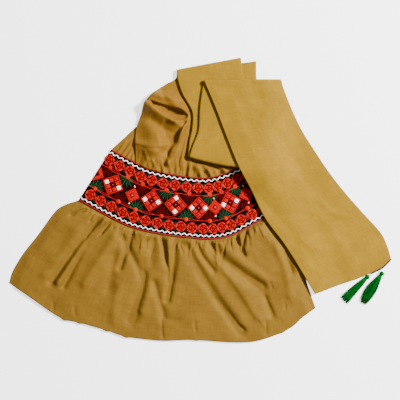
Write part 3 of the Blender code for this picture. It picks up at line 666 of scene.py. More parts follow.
def bowed(stops, bow):
    """A fit that pushes the middle of this section down, as a fold that doesn't lie straight."""
    shares, distances = np.transpose(bow)
    left, right = np.array(stops[:2]), np.array(stops[2:4])
    width = np.linalg.norm(right - left)
    along = (right - left) / width
    out = np.array([along[1], -along[0]])

    def fit(plan):
        share = np.clip((plan - left) @ along / width, 0.0, 1.0)
        return plan + np.interp(share, shares, distances)[:, None] * out

    return fit


def turned(last, first, outward, steps):
    """The sections round a fold of the whole stack, between a pass's last and the next's first."""
    between = []
    radius = np.abs(first[:, 3] - last[:, 3]) / 2
    middle = (first[:, 3] + last[:, 3]) / 2
    for k in range(1, steps):
        angle = math.pi * k / steps
        rows = last.copy()
        rows[:, 1:3] += outward * (radius * math.sin(angle))[:, None]
        rows[:, 3] = middle - math.cos(angle) * (first[:, 3] - last[:, 3]) / 2
        between.append(rows)
    return between


def sewn_to_band(plan, shares):
    """A block of sections drawn onto the band's upper edge, each this far, by place in the cloth."""
    edge = through(BAND_UPPER, evenly(BAND_UPPER, 200))
    edge = edge + BODY_SEAM * normals(edge)
    start = plan[0]
    on_edge = [np.interp(start[:, 0], edge[:, 0], edge[:, axis]) for axis in (0, 1)]
    return plan + shares[:, None, None] * (np.column_stack(on_edge) - start)


def table_sections(table, first_column, count):
    """Sections read from the table, evenly spaced along the line in these two columns."""
    line = np.array(table)[:, first_column : first_column + 2]
    return through(table, evenly(line, count))


def to_metres(points):
    """Table coordinates in millimetres to the object's own frame in metres."""
    points = np.array(points, float)
    points[:, 0] -= MIDDLE[0]
    points[:, 1] -= MIDDLE[1]
    return points * MM


def band_edges(upper):
    """The band's edge on this side, and its other edge."""
    return (BAND_UPPER, BAND_LOWER) if upper else (BAND_LOWER, BAND_UPPER)


def band_line(inset, upper, count):
    """A line inside one edge of the band, evenly divided, and the directions into the band."""
    edge, other = band_edges(upper)
    t = evenly(edge, count)
    start = through(edge, t)
    normal = normals(start)
    towards = through(other, t) - start
    normal *= np.sign((normal * towards).sum(axis=1))[:, None]
    return start + inset * normal, normal


def ruffle_height(plan, down, fine):
    """The height of the ruffle's middle surface. down runs from 0 at the band to 1 at the hem."""
    level = RUFFLE_LEVEL - RUFFLE_FALL * down
    sides = np.minimum(*(distance_to_path(plan, side) for side in RUFFLE_SIDES))
    near = smooth(1.0 - distance_to_path(plan, BAND_LOWER) / RUFFLE_GATHER_REACH)
    turn = 2 * math.pi * plan[:, 0] / RUFFLE_GATHER_PITCH
    gather = RUFFLE_GATHER * near * np.sin(turn + 1.3 * np.sin(0.27 * turn))
    folds = RUFFLE_DEEPEN * relief(plan, RUFFLE_FOLDS) + fine
    under = lifted(plan, LAST_OUTLINE, UNDER_STRIP_REACH)
    most = RUFFLE_MOST + under * (UNDER_STRIP - RUFFLE_MOST)
    height = np.clip(level + folds + gather, 0.15, most)
    height *= smooth(sides / RUFFLE_SIDE_REACH)
    sewn = smooth(down / RUFFLE_SEWN_SHARE)
    return SHEET / 2 + height * sewn + (1.0 - sewn) * (BAND_THICK - SHEET) / 2


# Divisions of the body cloth: the parts of a pass's three layers and of the two turns between them
RISING_COUNTS = (96, 8, 112, 4, 8)
FALLING_COUNTS = (44, 8, 36, 4, 4)
CROSSING_COUNTS = (24, 8, 44, 4, 4)
LAST_COUNTS = (76, 10, 20, 5, 4)
RISING_SECTIONS = 104
FALLING_SECTIONS = 36
CROSSING_SECTIONS = 24
LAST_SECTIONS = 150
SEWN_SHARE = 1.0 / 3.0
TURN_STEPS = 7
RUFFLE_COLUMNS = 300
RUFFLE_ROWS = 86
BAND_COLUMNS = 100
BAND_ROWS = 26
FLAT_LAYER = 0.2

TURN_PLACE = 0.2
LAYER_PLACE = 1.0 + TURN_PLACE

# Flat sizes in metres for the cloth's own coordinates, and the hem's line of stitches in them
RUFFLE_FLAT = (0.82, 0.26)
BAND_FLAT = (0.47, 0.15)
HEM_STITCHES = 0.0125
HEM_STITCH_WIDE = 0.0009
# Painted shade on the body cloth: full up to the first of these places along the cloth from the band, in
# metres, and gone by the second
PAINTED_SHADE_FADE = (0.20, 0.27)

# Unevenness of the cloth: the size of its waves; their height
WAVES = 7
PUFF_UNEVEN = (60.0, 0.7)
STRIP_UNEVEN = (90.0, 0.9)
RUFFLE_UNEVEN = ((55.0, 1.6), (22.0, 0.5))
STRIP_EDGE_REACH = 22.0
HELD_REACH = 7.0
HELD_SHARE = 0.85
COVER_REACH = 5.0
LOWEST = -0.5
CREASE_DEEPEN = 1.5
GATHER_DEEPEN = 1.6

# Seeded fine gathers beside the band
BAND_GATHER_COUNT = 46
RUFFLE_GATHER_COUNT = 74
GATHER_JITTER = 0.03
SHORT_GATHER = (9.0, 42.0)
LONG_GATHER = (40.0, 75.0)
SHORT_SHARE = 0.75
LEAN_SPREAD = 0.16
BEND_SPREAD = 0.06
GATHER_RISE = (0.7, 1.7)
RIDGE_SHARE = 0.45
GATHER_WIDE = (1.5, 3.0)
GATHER_SIDES = (0.8, 1.6)
GATHER_START = 1.5

# Colours, as linear red, green and blue
GOLD = (0.213, 0.118, 0.0075)
# Painted shade: the body cloth's colour is multiplied by this over its first pass near the band
PUFF_PAINTED_SHADE = (0.80, 0.68, 1.15)
HEM_LINE = (0.6, 0.55, 0.5)
# Painted shade: the ruffle's gold is a darker copy of the body cloth's, for the ruffle's darker look
# under the light
RUFFLE_SHADED_GOLD = (0.150, 0.078, 0.0095)
BLACK = (0.0045, 0.0006, 0.0006)
STITCH_COLOURS = {
    "red": (0.36, 0.0010, 0.0006),
    "crimson": (0.17, 0.0008, 0.0045),
    "orange": (0.43, 0.0100, 0.0004),
    "white": (0.90, 0.86, 0.80),
    "green": (0.0005, 0.022, 0.006),
    "mint": (0.004, 0.085, 0.032),
    "pink": (0.46, 0.030, 0.035),
    "magenta": (0.21, 0.001, 0.040),
    "maroon": (0.030, 0.0008, 0.0012),
    "wine": (0.085, 0.0006, 0.0012),
    "cream": (0.68, 0.58, 0.32),
    "grey": (0.25, 0.22, 0.17),
}
BRAID_WHITE = (0.95, 0.90, 0.85)
PIPING_RED = (0.20, 0.002, 0.0015)
CORD_BLACK = (0.0015, 0.0012, 0.0012)
TASSEL_GREEN = (0.0006, 0.078, 0.008)
LOOP_GREY = (0.05, 0.06, 0.04)
STITCH_BASE = 1.85
ROSE_RADIUS = 14.0
VINE_SWING = 0.088
CELL = 11.8
SEED = 7
PLAIN = (1.0, 1.0, 1.0)
SLUB_SCALE = 460.0
WEAVE_SCALE = 320.0
FLOOR_HALF = 4.0
FLOOR_HEIGHT = -0.0006
# Columns: name; place in metres; power; size
LIGHTS = (
    ("Key light", (2.9, 1.37, 2.98), 770.0, 0.7),
    ("Fill light", (-1.6, -1.2, 2.4), 12.0, 2.0),
)


def creased(points, creases):
    """Like relief, but a crease has a width of its own on each side."""
    height = np.zeros(len(points))
    for crease in creases:
        path = through(np.reshape(crease[:6], (3, 2)), np.linspace(0.0, 2.0, 9))
        rise, left, right = crease[6:]
        reach = 3.0 * max(left, right)
        low, high = path.min(axis=0) - reach, path.max(axis=0) + reach
        close = ((points > low) & (points < high)).all(axis=1)
        away, side = nearest(points[close], path)
        width = np.where(side > 0.0, left, right)
        height[close] += rise * np.exp(-((away / width) ** 2))
    return height


def undulation(points, size, height, seed):
    """Slight, slow unevenness, as a sum of a few seeded waves of about this size."""
    rng = np.random.default_rng(seed)
    total = np.zeros(len(points))
    for _ in range(WAVES):
        angle, phase = rng.uniform(0.0, 2 * math.pi, 2)
        wave = 2 * math.pi / (size * rng.uniform(0.7, 1.5))
        total += np.sin(wave * (points @ (math.cos(angle), math.sin(angle))) + phase)
    return height * total / WAVES


def grid_loft(lines):
    """Vertices, faces and their parting between rows that are (place, x, y, z, along) each."""
    points, faces, flat = [], [], []
    previous = None
    for rows in lines:
        first = len(points)
        points += list(to_metres(rows[:, 1:4]))
        flat += list(zip(rows[:, 0], rows[:, 4]))
        current = [(place, first + k) for k, place in enumerate(rows[:, 0])]
        if previous:
            faces += parted(previous, current)
        previous = current
    return points, faces, flat


def parted(first, second):
    """Faces between two rows of (place, index) that may hold different numbers of points."""
    if len(first) == len(second):
        return [
            (first[k][1], first[k + 1][1], second[k + 1][1], second[k][1])
            for k in range(len(first) - 1)
        ]
    faces = []
    i = j = 0
    while i < len(first) - 1 or j < len(second) - 1:
        next_i = first[i + 1][0] if i < len(first) - 1 else math.inf
        next_j = second[j + 1][0] if j < len(second) - 1 else math.inf
        if abs(next_i - next_j) < 1e-6:
            faces.append((first[i][1], first[i + 1][1], second[j + 1][1], second[j][1]))
            i += 1
            j += 1
        elif next_i < next_j:
            faces.append((first[i][1], first[i + 1][1], second[j][1]))
            i += 1
        else:
            faces.append((first[i][1], second[j + 1][1], second[j][1]))
            j += 1
    return faces


def add_mesh(name, points, faces, surface, flat=None, smooth_shaded=True):
    data = bpy.data.meshes.new(name)
    data.from_pydata([tuple(point) for point in points], [], [tuple(face) for face in faces])
    if flat is not None:
        layer = data.uv_layers.new(name="UVMap")
        corners = np.empty(len(data.loops), int)
        data.loops.foreach_get("vertex_index", corners)
        layer.data.foreach_set("uv", np.asarray(flat, np.float32)[corners].ravel())
    data.materials.append(surface)
    if smooth_shaded:
        data.shade_smooth()
    made = bpy.data.objects.new(name, data)
    bpy.context.scene.collection.objects.link(made)
    return made


def add_part(name, part, surface):
    """A mesh of one part: its points in millimetres, its faces and its flat coordinates."""
    points, faces, flat = part
    return add_mesh(name, to_metres(points), faces, surface, flat)


def solidify(target, thickness):
    modifier = target.modifiers.new("Thickness", "SOLIDIFY")
    modifier.thickness = thickness * MM
    modifier.offset = 0.0
    return target


def put_on(piece, slot_name, *nodes):
    """Joins the piece to the frame's one body, and hides the solids that it stands for."""
    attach(piece, "root")
    if nodes:
        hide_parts(*nodes)
    return piece


def between(start, end, parts):
    share = np.linspace(0.0, 1.0, parts + 1)[None, :, None]
    return start[:, None] + share * (end - start)[:, None]


def pocket(points):
    """1 on the pocket's floor, falling to 0 at its edge."""
    outline = np.array(POCKET)
    within = inside(points, outline)
    share = np.zeros(len(points))
    closed = np.vstack([outline, outline[:1]])
    share[within] = smooth(distance_to_path(points[within], closed) / POCKET_WALL)
    return share


def lip_lean(points):
    """How far the pocket's two lips hang over it, as steps in plan."""
    outline = np.array(POCKET)
    lean = np.zeros((len(points), 2))
    upper, lower = outline[:UPPER_LIP_POINTS], outline[UPPER_LIP_POINTS:]
    for edge, reach in ((upper, -UPPER_LIP_LEAN), (lower, LOWER_LIP_LEAN)):
        ahead = units(edge[-1] - edge[0])
        out = np.array([-ahead[1], ahead[0]]) * (1.0 if ahead[0] > 0.0 else -1.0)
        near = smooth(1.0 - distance_to_path(points, edge) / LIP_REACH)
        lean += reach * near[:, None] * out
    return lean * (1.0 - pocket(points))[:, None]


def first_top(points):
    """How far the first pass's top layer stands up, with its creases, where nothing presses it."""
    pressed = lifted(points, FALLING_OUTLINE, PRESSED_REACH)
    held = lifted(points, FALLING_OUTLINE, HELD_REACH)
    near_band = lifted(points, BAND_OUTLINE, BAND_REACH)
    loose = np.maximum(relief(points, PUFF_FOLDS) + creased(points, PUFF_CREASES), 0.0)
    loose *= 1.0 - pocket(points)
    fine = relief(points, GATHERS) + creased(points, TUCKS) + creased(points, BAND_GATHERS)
    uneven = undulation(points, *PUFF_UNEVEN, SEED)
    total = (loose + uneven) * (1.0 - pressed) + fine * near_band * (1.0 - HELD_SHARE * held)
    return np.maximum(total, LOWEST)


def neck_top(points):
    """The gathers of the lowest layer beside the upper ones."""
    covered = lifted(points, MIDDLE_LAYER_OUTLINE, COVER_REACH)
    near_band = lifted(points, BAND_OUTLINE, BAND_REACH)
    return creased(points, NECK_CREASES) * (1.0 - covered) * near_band


def last_top(points):
    """The slight rumples of the last pass's top layer."""
    sides = (np.array(LAST)[:, column : column + 2] for column in (0, 2))
    edge = np.minimum(*(distance_to_path(points, side) for side in sides))
    inner = smooth(edge / STRIP_EDGE_REACH)
    return (creased(points, STRIP_CREASES) + undulation(points, *STRIP_UNEVEN, SEED + 1)) * inner


def seam_gathers(upper, count, seed):
    """Seeded fine gathers along one of the band's edges, running out into the cloth."""
    rng = np.random.default_rng(seed)
    edge, other = band_edges(upper)
    t = through(np.arange(len(edge))[:, None], evenly(edge, count))[:, 0]
    t = np.clip(t + rng.uniform(-GATHER_JITTER, GATHER_JITTER, count), 0.02, len(edge) - 1.02)
    start, far = through(edge, t), through(other, t)
    out = units(start - far)
    side = np.column_stack([-out[:, 1], out[:, 0]])
    gathers = []
    for k in range(count):
        length = rng.uniform(*(SHORT_GATHER if rng.random() < SHORT_SHARE else LONG_GATHER))
        lean = rng.normal(0.0, LEAN_SPREAD)
        bend = rng.normal(0.0, BEND_SPREAD)
        middle = start[k] + out[k] * length * 0.5 + side[k] * length * (0.5 * lean + bend)
        end = start[k] + out[k] * length + side[k] * length * lean
        rise = rng.uniform(*GATHER_RISE) * (1.0 if rng.random() < RIDGE_SHARE else -1.0)
        width = rng.uniform(*GATHER_WIDE)
        begin = start[k] + out[k] * GATHER_START
        gathers.append((*begin, *middle, *end, rise, width, width * rng.uniform(*GATHER_SIDES)))
    return tuple(gathers)


BAND_GATHERS = seam_gathers(True, BAND_GATHER_COUNT, SEED + 2)
RUFFLE_GATHERS = seam_gathers(False, RUFFLE_GATHER_COUNT, SEED + 3)


def pass_lines(table, column, count, counts, rising, ground, top=None, fits=None, sewn=None):
    """The sections of one pass of the pleated cloth, as arrays of (place, x, y, z)."""
    stops = np.reshape(table_sections(table, column, count), (count, 4, 2))
    left_hem, right_fold, left_fold, right_hem = (stops[:, k] for k in range(4))
    order = (0, 1, 2) if rising else (2, 1, 0)
    first_pass = ground is under_rising
    ends = ((left_hem, right_fold), (right_fold, left_fold), (left_fold, right_hem))
    outward = (units(right_fold - left_hem), units(left_fold - right_fold))
    rounding = [np.full(count, PITCH / 2), np.full(count, PITCH / 2)]
    if first_pass:
        edge = top(left_fold - PUFF_EDGE * outward[1])
        rounding = [
            np.full(count, SOFT_ROUND),
            np.clip(SOFT_ROUND + edge / 2, SOFT_ROUND, PUFF_ROUND),
        ]
    cuts = [outward[k] * rounding[k][:, None] for k in range(2)]
    insets = ((0.0 * cuts[0], cuts[0]), (cuts[0], cuts[1]), (cuts[1], 0.0 * cuts[1]))
    top_layer = 2 if rising else 0
    layers = []
    for layer, ((start, end), (cut_start, cut_end)) in enumerate(zip(ends, insets)):
        plan = between(start - cut_start, end - cut_end, counts[layer])
        if fits is not None:
            plan = np.stack([fit(row) for fit, row in zip(fits, plan)])
        if sewn is not None:
            plan = sewn_to_band(plan, sewn)
        block = plan.reshape(-1, 2)
        if first_pass:
            z = SHEET / 2 + PITCH * layers_below(block, layer)
        else:
            z = ground(block) + SHEET / 2 + PITCH * order[layer]
        if top is not None and layer == top_layer:
            z = z + top(block)
        if first_pass and layer == top_layer:
            plan = plan + lip_lean(block).reshape(plan.shape)
        if first_pass and layer == 0:
            z = z + neck_top(block)
        layers.append(np.dstack([plan, z.reshape(plan.shape[:2])]))
    lines = []
    for k in range(count):
        rows = []
        place = 0.0
        for layer in range(3):
            points = layers[layer][k]
            steps = np.linspace(0.0, 1.0, len(points))
            rows += [(place + step, *point) for step, point in zip(steps, points)]
            place += 1.0
            if layer == 2:
                break
            start, end = points[-1], layers[layer + 1][k][0]
            turns = counts[3 + layer]
            for step in range(1, turns):
                angle = math.pi * step / turns
                middle = (start + end) / 2 - math.cos(angle) * (end - start) / 2
                middle[:2] += outward[layer][k] * rounding[layer][k] * math.sin(angle)
                rows.append((place + TURN_PLACE * step / turns, *middle))
            place += TURN_PLACE
        lines.append(np.array(rows))
    return lines


def resampled(line, like):
    """One section's line read at the places of another's."""
    columns = [np.interp(like[:, 0], line[:, 0], line[:, k]) for k in (1, 2, 3)]
    return np.column_stack([like[:, 0], *columns])


def straight(plan):
    return plan


def body_lines():
    """All sections of the body cloth from the band to the far end."""
    sewn = 1.0 - smooth(np.linspace(0.0, 1.0, RISING_SECTIONS) / SEWN_SHARE)
    rising = pass_lines(
        RISING, 4, RISING_SECTIONS, RISING_COUNTS, True, under_rising, first_top, sewn=sewn
    )
    lower_fit = bowed(FALLING[-1], LOWER_FOLD_BOW)
    falling_fits = [straight] * (FALLING_SECTIONS - 1) + [lower_fit]
    crossing_fits = [lower_fit] + [straight] * (CROSSING_SECTIONS - 1)
    last_fits = [straight] * (LAST_SECTIONS - 1) + [bowed(LAST[-1], FAR_END_BOW)]
    ease_in(falling_fits, FALLING[-1], LOWER_FOLD_BOW, -1, 4)
    ease_in(crossing_fits, CROSSING[0], LOWER_FOLD_BOW, 1, 3)
    ease_in(last_fits, LAST[-1], FAR_END_BOW, -1, 9)
    falling = pass_lines(
        FALLING, 0, FALLING_SECTIONS, FALLING_COUNTS, False, under_falling, None, falling_fits
    )
    crossing = pass_lines(
        CROSSING, 0, CROSSING_SECTIONS, CROSSING_COUNTS, True, under_crossing, None, crossing_fits
    )
    last = pass_lines(LAST, 0, LAST_SECTIONS, LAST_COUNTS, False, under_last, last_top, last_fits)
    up = units(np.array(RISING[-1][2:4]) - np.array(RISING[-1][0:2]))
    down = units(np.array(FALLING[-1][2:4]) - np.array(FALLING[-1][0:2]))
    return (
        rising
        + folded_over(rising[-1], falling[0], np.array([-up[1], up[0]]))
        + falling
        + folded_over(falling[-1], crossing[0], np.array([down[1], -down[0]]))
        + crossing
        + folded_over(crossing[-1], last[0], np.array([0.0, 1.0]))
        + last
    )


def ease_in(fits, stops, bow, direction, count):
    """Lets the bow of an end section die away over the sections next to it."""
    for k in range(1, count):
        share = 1.0 - smooth(k / count)
        index = len(fits) - 1 - k if direction < 0 else k
        fits[index] = eased(bowed(stops, bow), share)


def eased(fit, share):
    def partly(plan):
        return plan + share * (fit(plan) - plan)

    return partly


def folded_over(last, first, outward):
    """The sections round a fold of the whole stack, on the places of the finer neighbour."""
    if len(last) < len(first):
        last = resampled(last, first)
    else:
        first = resampled(first, last)
    return turned(last, first, outward, TURN_STEPS)


def body_sheet(surface):
    """The whole body cloth, and its last section, along which the cord lies."""
    lines = body_lines()
    centres = np.array([rows[:, 1:4].mean(axis=0) for rows in lines])
    travelled = lengths(centres) * MM
    points, faces, flat = grid_loft(
        [np.column_stack([rows, np.full(len(rows), far)]) for rows, far in zip(lines, travelled)]
    )
    flat = np.array(flat)
    layer = np.floor(flat[:, 0] / LAYER_PLACE)
    flat[:, 0] = FLAT_LAYER * (layer + np.clip(flat[:, 0] - LAYER_PLACE * layer, 0.0, 1.0))
    return solidify(add_mesh("cloth_body", points, faces, surface, flat), SHEET), lines[-1]


def hem_bumps(plan, down):
    """How far the ruffle's hem wanders out, at each point."""
    out = np.zeros(len(plan))
    for x, y, size in HEM_BUMPS:
        out += size * np.exp(-((np.hypot(plan[:, 0] - x, plan[:, 1] - y) / HEM_BUMP_WIDTH) ** 2))
    return out * smooth((down - HEM_BUMP_FROM) / (1.0 - HEM_BUMP_FROM))


def ruffle_sheet(surface):
    across = np.linspace(0.0, 1.0, RUFFLE_COLUMNS)
    top = band_line(-RUFFLE_SEAM, False, RUFFLE_COLUMNS)[0]
    hem = through(RUFFLE_HEM, evenly(RUFFLE_HEM, RUFFLE_COLUMNS))
    left, right = (through(side, evenly(side, RUFFLE_ROWS)) for side in RUFFLE_SIDES)
    lines = []
    for row, down in enumerate(np.linspace(0.0, 1.0, RUFFLE_ROWS)):
        straight = top + down * (hem - top)
        plan = (
            straight
            + (1.0 - across)[:, None] * (left[row] - straight[0])
            + across[:, None] * (right[row] - straight[-1])
        )
        share = np.full(len(plan), down)
        fine = CREASE_DEEPEN * creased(plan, RUFFLE_CREASES)
        fine += GATHER_DEEPEN * creased(plan, RUFFLE_GATHERS)
        for place, uneven in enumerate(RUFFLE_UNEVEN):
            fine += undulation(plan, *uneven, SEED + 4 + place)
        height = ruffle_height(plan, share, fine)
        plan[:, 1] -= hem_bumps(plan, share)
        lines.append(np.column_stack([RUFFLE_FLAT[0] * across, plan, height, RUFFLE_FLAT[1] * share]))
    points, faces, flat = grid_loft(lines)
    return solidify(add_mesh("cloth_ruffle", points, faces, surface, flat), SHEET)


def on_band(along, across):
    """Points on the band, by their shares along it and across it."""
    along, across = np.broadcast_arrays(np.atleast_1d(along).astype(float), across)
    t = np.clip(along, 0.0, 1.0) * (len(BAND) - 1.0)
    upper, lower = through(BAND_UPPER, t), through(BAND_LOWER, t)
    return upper + across[:, None] * (lower - upper)


def band_axes(along, across):
    """A point on the band with the directions along it and across it, downwards."""
    centre = on_band(along, across)[0]
    ahead = on_band(min(along + 0.01, 1.0), across)[0] - on_band(max(along - 0.01, 0.0), across)[0]
    down = on_band(along, 1.0)[0] - on_band(along, 0.0)[0]
    return centre, units(ahead), units(down)


def band_sheet(surface):
    along = np.linspace(0.0, 1.0, BAND_COLUMNS)
    middle = np.full(BAND_COLUMNS, BAND_THICK / 2)
    lines = []
    for down in np.linspace(0.0, 1.0, BAND_ROWS):
        width = np.full(BAND_COLUMNS, BAND_FLAT[1] * down)
        lines.append(np.column_stack([BAND_FLAT[0] * along, on_band(along, down), middle, width]))
    points, faces, flat = grid_loft(lines)
    return solidify(add_mesh("band_ground", points, faces, surface, flat), BAND_THICK)


def grid_faces(rows, columns, around=False, closed=False):
    """Faces of a grid kept row by row, closed round each row or from the last row to the first."""
    faces = []
    for row in range(rows if closed else rows - 1):
        start, ahead = row * columns, (row + 1) % rows * columns
        for column in range(columns if around else columns - 1):
            after = (column + 1) % columns
            faces.append((start + column, start + after, ahead + after, ahead + column))
    return faces


def joined_parts(parts):
    """The vertices, faces and flat coordinates of several parts as one."""
    points, faces, flat = [], [], []
    for part_points, part_faces, part_flat in parts:
        first = len(points)
        points += list(part_points)
        flat += list(part_flat)
        faces += [tuple(first + k for k in face) for face in part_faces]
    return points, faces, flat


class Stitches:
    """Raised runs of stitching, gathered by colour and then made one mesh for each."""

    def __init__(self):
        self.parts = {}

    def add(self, colour, *part):
        self.parts.setdefault(colour, []).append(part)

    def run(self, colour, path, half_widths, rise, base=STITCH_BASE):
        """A domed run along the path, half as wide as half_widths says at each of its points."""
        path = np.asarray(path, float)
        half_widths = np.broadcast_to(np.asarray(half_widths, float), len(path))
        side = normals(path)
        swell = np.sqrt(half_widths / half_widths.max())
        travelled = lengths(path)
        points, flat = [], []
        for share, height in DOME:
            line = path + share * half_widths[:, None] * side
            points += list(np.column_stack([line, base + rise * height * swell]))
            flat += [(share * half * MM, far * MM) for half, far in zip(half_widths, travelled)]
        self.add(colour, points, grid_faces(len(DOME), len(path)), flat)

    def leaf(self, colour, start, end, half_width, rise, bend=0.0):
        """A run that is pointed at both ends."""
        share = np.linspace(0.0, 1.0, LEAF_STEPS)
        start, end = np.asarray(start, float), np.asarray(end, float)
        side = np.array([start[1] - end[1], end[0] - start[0]])
        path = start + share[:, None] * (end - start) + (bend * 4 * share * (1 - share))[:, None] * side
        self.run(colour, path, half_width * np.sin(math.pi * share) ** 0.6 + 0.06, rise)

    def arc(self, colour, centre, radius, begin, sweep, half_width, rise, pointed=True, steps=LEAF_STEPS):
        share = np.linspace(0.0, 1.0, steps)
        angle = begin + sweep * share
        path = centre + radius * np.column_stack([np.cos(angle), np.sin(angle)])
        widths = half_width * np.sin(math.pi * share) ** 0.5 + 0.08 if pointed else half_width
        self.run(colour, path, widths, rise)

    def raised(self, colour, centre, rim, flat_rim, profile):
        """A flat-topped patch, from its rim, the rim's flat coordinates and rings of (size, height)."""
        sides = len(rim)
        points, flat = [], []
        for size, height in profile:
            points += [(*(centre + size * spot), STITCH_BASE + height) for spot in rim]
            flat += [(size * u * MM, size * v * MM) for u, v in flat_rim]
        faces = grid_faces(len(profile), sides, around=True)
        faces.append(tuple((len(profile) - 1) * sides + k for k in range(sides)))
        self.add(colour, points, faces, flat)

    def disc(self, colour, centre, radius, rise, sides=20):
        """A low round ground of stitches."""
        angles = np.linspace(0.0, 2 * math.pi, sides, endpoint=False)
        rim = radius * np.column_stack([np.cos(angles), np.sin(angles)])
        self.raised(colour, centre, rim, rim, ((1.0, 0.0), (0.9, rise)))

    def tile(self, colour, centre, across, down, half, rise):
        """A raised diamond or square with bevelled edges."""
        rim = [half * (across * a + down * b) for a, b in CORNERS]
        flat_rim = [(half * a, half * b) for a, b in CORNERS]
        self.raised(colour, centre, rim, flat_rim, ((1.0, 0.0), (0.82, 0.8 * rise), (0.35, rise)))

    def build(self, surfaces):
        pieces = []
        for colour, parts in self.parts.items():
            made = add_part("stitch_" + colour, joined_parts(parts), surfaces[colour])
            pieces.append(put_on(made, "embroidered_ground"))
        return pieces


def spin(vector, angle):
    c, s = math.cos(angle), math.sin(angle)
    return np.array([c * vector[0] - s * vector[1], s * vector[0] + c * vector[1]])


def stitch_rose(stitches, centre, turn):
    """A rose of five outer petals round three inner ones and a heart, with dark gaps."""
    stitches.disc("wine", centre, 0.92 * ROSE_RADIUS, 0.3)
    for place, start, sweep, width, rise, colours in PETALS:
        radius, half_width = place * ROSE_RADIUS, width * ROSE_RADIUS
        for k, colour in enumerate(colours):
            begin = turn + start + 2 * math.pi * k / len(colours)
            stitches.arc(colour, centre, radius, begin, sweep, half_width, rise)
    stitches.arc("red", centre, 0.10 * ROSE_RADIUS, turn, 4.6, 0.08 * ROSE_RADIUS, 1.4, False)


def stitch_rows(stitches):
    """The two rows of roses, with leaves between them and two vines that cross at each gap."""
    for across, first, step, count in ROSE_ROWS:
        outer = -1.0 if across < 0.5 else 1.0
        ground = on_band(np.linspace(0.012, ROW_END, 90), across)
        stitches.run("maroon", ground, ROW_GROUND, 0.15)
        for k in range(count):
            along = first + k * step
            if along > ROW_END:
                continue
            centre, _, down = band_axes(along, across)
            sway = (ROSE_SWAY if k % 2 else -ROSE_SWAY) * down
            stitch_rose(stitches, centre + sway, 2.4 * k + 0.7)
            middle = along + step / 2
            if middle <= GAP_END:
                stitch_leaves(stitches, middle, across, outer)
        share = np.linspace(first - step / 2, min(first + (count - 0.5) * step, ROW_END), count * 10 + 1)
        share = share[share > 0.004]
        turn = math.pi * (share - first + step / 2) / step
        for lean in (1.0, -1.0):
            vine = on_band(share, across + lean * VINE_SWING * np.sin(turn))
            stitches.run("pink", vine, 0.5, 1.5)


def stitch_leaves(stitches, along, across, outer):
    """The leaves in one gap between two roses."""
    centre, ahead, down = band_axes(along, across)
    out = down * outer
    for colour, out_from, along_from, out_to, along_to, half_width, rise, bend in ROSE_LEAVES:
        start = centre + out_from * out + along_from * ahead
        end = centre + out_to * out + along_to * ahead
        stitches.leaf(colour, start, end, half_width, rise, bend)


def square_axes(along, across):
    """The middle of a square that stands on its corner, and the directions of its sides."""
    centre, ahead, down = band_axes(along, across)
    return centre, units(ahead + down), units(down - ahead)


def stitch_checked(stitches, along, across, white_along):
    """A square of nine cells on its corner: white and crimson corners, red sides and a dark middle."""
    centre, first, second = square_axes(along, across)
    half = CELL / 2
    stitches.tile("maroon", centre, first, second, CELL * 1.5 + 1.0, 0.35)
    for i in (-1, 0, 1):
        for j in (-1, 0, 1):
            place = centre + (first * i + second * j) * CELL
            on_corner = i != 0 and j != 0
            if i == 0 and j == 0:
                kind = "middle"
            elif not on_corner:
                kind = "side"
            else:
                kind = "white" if (i * j < 0) == white_along else "corner"
            for colour, size, rise in CELLS[kind]:
                stitches.tile(colour, place, first, second, half * size, rise)
            if kind == "white":
                stitches.arc("grey", place, 0.24 * half, 0.0, 6.28, 0.09 * half, 1.3, False, 9)
            if kind == "side":
                for side in (-1.0, 1.0):
                    ends = (place - first * half * 0.6, place + first * half * 0.6)
                    line = stretch(*ends, 3) + side * second * half * 0.42
                    stitches.run("orange", line, 0.8, 1.1)
    stitch_outline(stitches, centre, first, second, CELL * 1.5 + 1.6, "red", 1.5)


def stitch_plain(stitches, along, across):
    """A plain square on its corner, of nested outlines."""
    centre, first, second = square_axes(along, across)
    _, ahead, down = band_axes(along, across)
    half = PLAIN_HALF
    stitches.tile("red", centre, first, second, half, 0.7)
    stitch_outline(stitches, centre, first, second, half * 0.74, "crimson", 0.7)
    stitches.tile("crimson", centre, first, second, half * 0.46, 1.1)
    stitches.tile("pink", centre, first, second, half * 0.2, 1.3)
    for side in (-1.0, 1.0):
        tip = centre + side * down * (half * 1.42)
        stitches.leaf("cream", tip - ahead * 3.5 + down * side * 3.0, tip + ahead * 1.0, 1.7, 0.9)


def stitch_outline(stitches, centre, first, second, reach, colour, half_width):
    corners = [centre + (first * a + second * b) * reach for a, b in CORNERS]
    for start, end in zip(corners, corners[1:] + corners[:1]):
        stitches.run(colour, stretch(start, end, 4), half_width, 1.0)


def stitch_centre(stitches):
    for along, across, kind, white_along in CENTRE_ROW:
        if kind == "checked":
            stitch_checked(stitches, along, across, white_along)
        elif kind == "plain":
            stitch_plain(stitches, along, across)
        else:
            centre, ahead, down = band_axes(along, across)
            for reach, colour in HALF_SQUARE:
                tip = centre + ahead * reach
                for side in (-reach, reach):
                    stitches.run(colour, stretch(centre + down * side, tip, 4), 1.5, 1.0)


def stitch_fans(stitches):
    """Buds beside the centre row, each with a fan of threads that opens towards it."""
    for k, (along, upper, green) in enumerate(FANS):
        across = FAN_ACROSS[0] if upper else FAN_ACROSS[1]
        centre, ahead, down = band_axes(along, across)
        inward = down if upper else -down
        for j in range(FAN_COUNT):
            angle = (j / (FAN_COUNT - 1.0) - 0.5) * FAN_OPEN
            direction = spin(inward, angle)
            longest, shortening = FAN_LENGTHS[j % 2]
            length = longest - shortening * abs(angle)
            colour, width = (GREEN_FAN if green else DARK_FAN)[j % 2]
            stitches.leaf(colour, centre + 5.0 * direction, centre + length * direction, width, 0.7)
        stitches.disc("orange" if k % 3 else "red", centre, 6.0, 0.9, 14)
        for lean in (-1.0, 1.0):
            start = centre - inward * 5.5
            end = centre + ahead * lean * 3.6 + inward * 4.6
            stitches.leaf("orange" if k % 2 else "red", start, end, 2.8, 1.5, 0.12 * lean)


